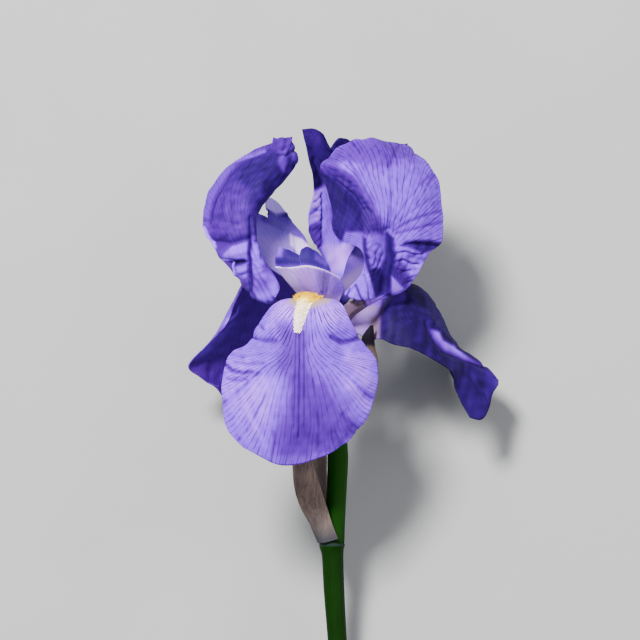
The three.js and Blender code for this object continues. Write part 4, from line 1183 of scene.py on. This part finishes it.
hair_colour = n.mix(yellowed, hair_colour, linear(0.92, 0.74, 0.46))
n.surface({
    "Base Color": hair_colour, "Roughness": n.span(grain, 0.3, 0.7, 0.6, 0.8), "Specular IOR Level": 0.1,
    "Normal": lift, "Emission Color": hair_colour, "Emission Strength": HAIR_GLOW,
}, lets_through=0.2)
print("hair glow:", HAIR_GLOW)

# %% Beards
HAIR_LENGTH = 1.3
HAIR_RADIUS = 0.17 * MM
HAIR_TAPER = 0.6
HAIR_LEAN = 0.35
MOUND_ROWS, MOUND_COLUMNS = 40, 24


def sample(grid, t, s):
    """Values of a grid between its points."""
    rows, columns = grid.shape[0] - 1, grid.shape[1] - 1
    i, j = np.clip(t, 0, 1) * rows, (np.clip(s, -1, 1) + 1) / 2 * columns
    i0, j0 = np.minimum(i.astype(int), rows - 1), np.minimum(j.astype(int), columns - 1)
    fi, fj = (i - i0)[..., None], (j - j0)[..., None]
    near = grid[i0, j0] * (1 - fj) + grid[i0, j0 + 1] * fj
    far = grid[i0 + 1, j0] * (1 - fj) + grid[i0 + 1, j0 + 1] * fj
    return near * (1 - fi) + far * fi


def beard(name, petal, stations, hairs, seed, node):
    """A mound on a petal's upper face with hairs on it. Each station is place along the petal (0 to 1),
    middle and half width across it (0 to 1), and height in mm."""
    rows, columns = MOUND_ROWS, MOUND_COLUMNS
    place = smooth_through(stations, rows + 1)
    w = np.linspace(-1, 1, columns + 1)[None, :]
    t = place[:, :1] + 0 * w
    s = 2 * (place[:, 1:2] + w * place[:, 2:3]) - 1
    up = -sample(grid_normals(petal.points), t, s)
    up /= np.linalg.norm(up, axis=2, keepdims=True)
    ground = sample(petal.points, t, s)
    dome = place[:, 3:4] * (1 - w**2) * 0.75 - 0.15
    top = ground + up * (FALL_THICKNESS / 2 + dome)[..., None]
    under = ground.copy()
    under[0], under[-1] = top[0], top[-1]
    under[:, 0], under[:, -1] = top[:, 0], top[:, -1]
    shell = np.concatenate([top, under[:, ::-1]], axis=1)
    mesh, row, column = grid_mesh(name, rows, 2 * columns + 1)
    place_vertices(mesh, shell[row, column])
    turn = np.array(lying_turn)
    bm = bmesh.new()
    bm.from_mesh(mesh)
    tone = bm.verts.layers.float.new("tone")
    lift = bm.verts.layers.float_vector.new("lift")
    for vertex, i, j in zip(bm.verts, row, column):
        vertex[tone] = i / rows
        vertex[lift] = turn @ up[i, min(j, 2 * columns + 1 - j)]
    bmesh.ops.remove_doubles(bm, verts=bm.verts[:], dist=TINY)
    random = np.random.default_rng(seed)
    forward = np.gradient(top, axis=0)
    forward /= np.linalg.norm(forward, axis=2, keepdims=True)
    for _ in range(hairs):
        i, j = random.integers(1, rows), int(np.clip(random.normal(0.5, 0.24), 0, 1) * columns)
        lean = up[i, j] + HAIR_LEAN * forward[i, j] + np.clip(random.normal(0, 0.2, 3), -HAIR_LEAN, HAIR_LEAN)
        lean = turn @ (lean / np.linalg.norm(lean))
        length = HAIR_LENGTH * random.uniform(0.6, 1.15) * (0.4 + 0.3 * place[i, 3])
        root = turn @ (top[i, j] * MM) + np.array(flower_origin)
        matrix = Matrix.Translation(Vector(root + lean * length * MM * 0.45))
        matrix = matrix @ Vector(lean).to_track_quat("Z", "Y").to_matrix().to_4x4()
        made = bmesh.ops.create_cone(bm, cap_ends=True, segments=4, radius1=HAIR_RADIUS,
                                     radius2=HAIR_RADIUS * HAIR_TAPER, depth=length * MM, matrix=matrix)
        for vertex in made["verts"]:
            vertex[tone] = i / rows
            vertex[lift] = turn @ up[i, j]
    turn_outward(bm, mesh)
    finish_piece(name, mesh, (beard_skin,), node)
    print(f"{name}: {hairs} hairs")


beard("front_beard_hair", front_fall, places("""
0.24 0.47 0.22 1.2, 0.26 0.47 0.26 2.2, 0.28 0.47 0.26 2.3, 0.305 0.46 0.19 2.1, 0.33 0.453 0.118 1.9,
0.37 0.453 0.1 1.9, 0.41 0.453 0.074 1.7, 0.445 0.453 0.05 1.2, 0.468 0.453 0.03 0.4
"""), 1500, 101, "front_beard")
beard("right_beard_hair", right_fall, places("""
0.09 0.8 0.08 0.3, 0.12 0.8 0.12 1.2, 0.16 0.82 0.12 1.5, 0.2 0.83 0.1 1.5, 0.24 0.84 0.08 1.2,
0.27 0.85 0.05 0.5
"""), 600, 103, "right_beard")
beard("left_beard_hair", left_fall, places("""
0.24 0.5 0.1 0.3, 0.3 0.5 0.16 1.5, 0.37 0.5 0.15 1.8, 0.44 0.5 0.12 1.8, 0.51 0.5 0.09 1.4, 0.57 0.5 0.05 0.5
"""), 700, 105, "left_beard")

# %% [markdown]
# ## Stem, ovary, tube and stamens
# These are all round bodies along a bent path. A curve with a bevel would do, but a grid wrapped round the
# path also lets each ring have its own size and shape: the node of the stem swells, and the ovary has three
# rounded ribs. Merging doubles closes the seam along it and the poles at its ends.

# %% Round bodies
def wrapped_body(name, stations, material, node, sides, rings, shape=None, warm=None, up=(0, 0, 1)):
    """A closed body round a path. Each station is x, y, z, half width and, where it differs, half height in
    mm. shape and warm are functions of the place round and along the body, and of the place along it."""
    path = smooth_through([[*station, station[3]][:5] for station in stations], rings + 1)
    path = np.concatenate([path[:1], path, path[-1:]])
    centre = path[:, :3]
    forward = np.gradient(path[1:-1, :3], axis=0)
    forward = np.concatenate([forward[:1], forward, forward[-1:]])
    forward /= np.linalg.norm(forward, axis=1, keepdims=True)
    side = np.cross(forward, np.array(up, float))
    side /= np.linalg.norm(side, axis=1, keepdims=True)
    lift = np.cross(side, forward)
    turn = -2 * np.pi * np.arange(sides + 1) / sides
    v = np.concatenate([[0], np.linspace(0, 1, rings + 1), [1]])
    scale = np.ones((rings + 3, sides + 1)) if shape is None else shape(turn[None, :], v[:, None])
    scale[0] = scale[-1] = 0
    points = centre[:, None, :] + scale[..., None] * (
        path[:, None, 3:4] * np.cos(turn)[None, :, None] * side[:, None, :]
        + path[:, None, 4:5] * np.sin(turn)[None, :, None] * lift[:, None, :]
    )
    mesh, row, column = grid_mesh(name, rings + 2, sides)
    place_vertices(mesh, points[row, column])
    if warm is not None:
        store(mesh, "warm", warm(v)[row])
        # How much painted light the upper stem gets against the shade under the front fall.
        store(mesh, "upper_stem_light", rise(v, 0.6, 0.12)[row])
    bm = bmesh.new()
    bm.from_mesh(mesh)
    bmesh.ops.remove_doubles(bm, verts=bm.verts[:], dist=TINY)
    turn_outward(bm, mesh)
    finish_piece(name, mesh, (material,), node)
    print(f"{name}: {len(mesh.polygons)} faces")


def stem_shape(turn, v):
    ridges = 0.012 * np.sin(7 * turn + 2) + 0.008 * np.sin(11 * turn)
    return 1 + ridges + 0.01 * np.sin(23 * v + 2 * turn)


def node_colour(v):
    """A paler, bluish ring at the stem's node."""
    return 0.35 * np.exp(-(((v - 0.556) / 0.02) ** 4))


def ovary_shape(turn, v):
    return 1 + 0.1 * np.cos(3 * turn + 0.6) * np.sin(np.pi * v) + 0.015 * np.sin(9 * turn)


def tube_shape(turn, v):
    return 1 + 0.04 * np.cos(6 * turn) * v


wrapped_body("stem_stalk", places("""
8.5 -150 0 3.5, 7.4 -132 0 3.4, 6 -112 0 3.4, 4.9 -95 0 3.6, 4.4 -83 0 3.8, 4.2 -78.5 0 4.5, 4.9 -74.5 0 3.7,
5.8 -60 0 3.5, 6.2 -48 0 3.6, 5.7 -38 0 3.4
"""), stem_skin, "stem", sides=48, rings=220, shape=stem_shape, warm=node_colour)
wrapped_body("ovary_body", places("""
5.2 -37.5 0 0.6, 5.2 -36.7 0 1.8, 5.2 -34.4 0 3.2, 5.2 -31 0 4.2, 5.2 -27 0 4.5, 5.2 -23 0 4.2,
5.2 -19.6 0 3.2, 5.2 -17.3 0 1.9, 5.2 -16.5 0 0.7
"""), ovary_skin, "ovary", sides=48, rings=80, shape=ovary_shape)
wrapped_body("perianth_tube_body", places("""
4.8 -16.4 0 2.1, 4.3 -12 0 2.9, 3.8 -7 0 4, 3.5 -3.3 0 5.6
"""), tube_skin, "perianth_tube", sides=48, rings=40, shape=tube_shape)

# %% [markdown]
# Each stamen is a pale filament with a long anther under the style arm. The anther is two pollen sacs side
# by side, so its ring is drawn in at top and bottom, and it is powdery rather than smooth.

# %% Stamens
powder, n = new_material("anther powder")
speck = n.noise(n.flower_mm(), 3.2, 4.0, 0.7)
colour = n.ramp(speck, (
    (0.3, linear(0.50, 0.42, 0.36)), (0.5, linear(0.72, 0.63, 0.52)), (0.7, linear(0.86, 0.79, 0.67)),
))
n.surface({
    "Base Color": colour, "Roughness": n.span(speck, 0.3, 0.7, 0.75, 0.95),
    "Normal": n.bump(speck, 0.7, 0.2 * MM),
})
thread, n = new_material("filament skin")
streak = n.noise(n.flower_mm((3, 0.5, 3)), 1.0, 3.0)
colour = n.ramp(streak, ((0.35, linear(0.60, 0.52, 0.78)), (0.65, linear(0.86, 0.82, 0.95))))
n.surface({"Base Color": colour, "Roughness": n.span(streak, 0.3, 0.7, 0.45, 0.6)})


def anther_shape(turn, v):
    return 1 - 0.28 * np.abs(np.sin(turn)) ** 6 + 0.03 * np.sin(40 * v)


FILAMENT_RING_RADIUS = 3.3
FILAMENT_BASE_Y = -2.2
STAMEN_UP = (0.1, 1, 0.2)  # a direction that no stamen runs along
stamens = {
    "front": ("1.75 0.1 4.9 0.5, 0.9 2.2 7.8 0.45",
              "0.8 2.4 8.15 0.4 0.35, -0.1 4.8 11 1.1 0.7, -1 6.5 13.2 0.4 0.35"),
    "right": ("8.6 1 -1 0.5, 10.4 3.8 -1.4 0.45",
              "10.7 4.2 -1.45 0.4 0.35, 12.6 7.2 -2 1.1 0.7, 14.6 10 -2.6 0.4 0.35"),
    "left": ("-0.4 1.8 -4.4 0.5, -2.5 5.4 -6.6 0.45",
             "-2.7 5.8 -6.8 0.4 0.35, -4.8 9 -9 1.1 0.7, -6.8 12 -11.4 0.4 0.35"),
}
for side_name, (filament, anther) in stamens.items():
    start = [*ring_point(AZIMUTH[side_name], FILAMENT_RING_RADIUS, FILAMENT_BASE_Y), 0.6]
    wrapped_body(f"{side_name}_filament_thread", [start, *places(filament)], thread, f"{side_name}_filament",
                 sides=16, rings=24, up=STAMEN_UP)
    wrapped_body(f"{side_name}_anther_sacs", places(anther), powder, f"{side_name}_anther",
                 sides=24, rings=32, shape=anther_shape, up=STAMEN_UP)

# %% [markdown]
# ## Bracts
# A papery bract wraps the stem at its node, and two spathe valves sheathe the ovary. Each is a thin curved
# sheet with fibres along it, crumpled as it dried, and the right valve ends in a dark dry tip.

# %% Bracts
BRACT_THICKNESS = 0.35
FIBRE_COUNT = 34

side_bract_ribs = rib_table("""
6 -77.6 -5.2, 0.7 -78 -3.7, -0.7 -78 0.4, 1.6 -78 4.6, 6.4 -76.6 5.4
5.4 -71.4 -6, -1.4 -71.6 -4, -3.4 -71.8 1.2, 0.2 -71.8 5.4, 4.4 -71.6 5.8
3 -63 -6.6, -4.6 -63 -4, -7.6 -63 1.4, -3 -63 6, 1.6 -63 6.4
2.4 -54 -6.6, -6.2 -54 -4, -9.4 -54 1, -5.4 -54 5.8, -1.4 -54 6.6
2.2 -46 -5.6, -5.8 -46 -3.6, -9.6 -46 0.4, -6.8 -46 4.6, -4 -46 5.4
-1 -39 -2.6, -5 -39 -1.8, -7 -39 0, -6.2 -39 1.8, -5 -39 2.4
""")
right_valve_ribs = rib_table("""
6.2 -41.4 4.9, 9.9 -41.4 3.4, 11 -41.4 0, 9.9 -41.4 -3.6, 6.2 -41.4 -4.9
7.4 -35 7.2, 12 -35 5.6, 14 -35 0, 12.2 -35 -5, 7.4 -35 -6.8
10.6 -26.4 8.4, 15.6 -26.4 6.2, 18 -26.6 0.6, 15.6 -26.4 -4.6, 11 -26.4 -6.6
13.4 -17.4 8.2, 18 -17.4 6.2, 20.4 -17.6 1.6, 18.4 -17.4 -2.6, 14.4 -17.4 -4.4
14 -9.4 8.6, 17.2 -9.4 7.4, 19.2 -9.4 4.6, 17.8 -9.4 2.2, 15 -9.4 1.4
15 -5.4 8.4, 17.2 -5.2 7.8, 18.9 -5.2 6, 18 -5.2 4.6, 16 -5.4 4.2
17.6 -2 6.8, 18 -1.8 6.6, 18.4 -1.8 6.2, 18.2 -1.8 5.8, 17.8 -2 5.6
""")
left_valve_ribs = rib_table("""
5.4 -40 -4.9, 2 -40 -3.6, 0.9 -40 0, 2 -40 3.6, 5.2 -40 4.9
4.6 -34 -7.6, -0.6 -34 -5.4, -2.6 -34 0, -0.8 -34 5, 4 -34 7
3.4 -25 -8.6, -3 -25.2 -6.2, -6 -25.4 -0.4, -3.4 -25.2 4.6, 2 -25 6.8
1.6 -16 -8, -4 -16 -6, -6.6 -16 -1, -4.6 -16 3, 0 -16 4.8
-2 -9 -4.8, -4.4 -9 -3.6, -5.4 -9 -1.4, -4.6 -9 0.6, -2.4 -9 1.4
""")


def bract(name, bract_ribs, seed, node, dark_patches=""):
    """A papery sheet with fibre ridges and crumples."""
    sheet = Sheet(bract_ribs, 100, 60, toward=1, tone=0.0, passes=5)
    sheet.paint_patches(dark_patches, 1.0)
    wander = 3 * ripples(sheet.points, 12, seed)
    fibres = 0.07 * np.sin(FIBRE_COUNT * sheet.s + wander) * (0.3 + 0.7 * sheet.t)
    sheet.raise_by(fibres + 0.22 * ripples(sheet.points, 7, seed + 1) * rise(sheet.t, 0, 0.2))
    sheet.warm = 0.95 * rise(sheet.t, 0.4, -0.36)
    sheet_piece(name, sheet, BRACT_THICKNESS, (bract_paper, bract_lining), node)


bract("side_bract_paper", side_bract_ribs, 111, "side_bract")
bract("right_valve_paper", right_valve_ribs, 121, "right_spathe_valve",
      "1.0 0.6: 12 -9.6, 14 -3, 18 0, 21 -2, 20 -9")
bract("left_valve_paper", left_valve_ribs, 131, "left_spathe_valve")

# %% [markdown]
# ## Floor, light and backdrop
# A plain pale floor carries the flower. One large soft lamp stands in for bright sky high in front of the
# flower, and a weaker one fills the shadows.

# %% Floor and lights
floor_bm = bmesh.new()
bmesh.ops.create_grid(floor_bm, x_segments=1, y_segments=1, size=3.0)
floor_mesh = bpy.data.meshes.new("floor")
floor_bm.to_mesh(floor_mesh)
floor_bm.free()
floor = bpy.data.objects.new("floor", floor_mesh)
collection.objects.link(floor)
floor_material, n = new_material("floor paper")
grain = n.noise(n.flower_mm(), 0.02, 3.0)
n.surface({"Base Color": n.mix(grain, linear(0.58, 0.58, 0.57), linear(0.61, 0.61, 0.6)), "Roughness": 0.9})
floor_mesh.materials.append(floor_material)


def area_light(name, direction, distance, size, power):
    """A square lamp that faces the flower, from a direction in the flower's frame."""
    data = bpy.data.lights.new(name, "AREA")
    data.size = size
    data.energy = power
    lamp = bpy.data.objects.new(name, data)
    away = (lying_turn @ Vector(direction)).normalized()
    lamp.location = flower_origin + away * distance
    lamp.rotation_euler = away.to_track_quat("Z", "Y").to_euler()
    collection.objects.link(lamp)


area_light("key", (-0.35, 0.6, 0.8), distance=1.1, size=0.28, power=40.0)
area_light("fill", (0.8, 0.2, 0.8), distance=1.4, size=1.0, power=9.0)
world = bpy.data.worlds.new("sky")
bpy.context.scene.world = world
world.use_nodes = True
sky_light = world.node_tree.nodes["Background"].inputs
sky_light["Color"].default_value = linear(0.93, 0.95, 1.0)
sky_light["Strength"].default_value = 0.75
print("lamps:", [lamp.name for lamp in bpy.data.lights])
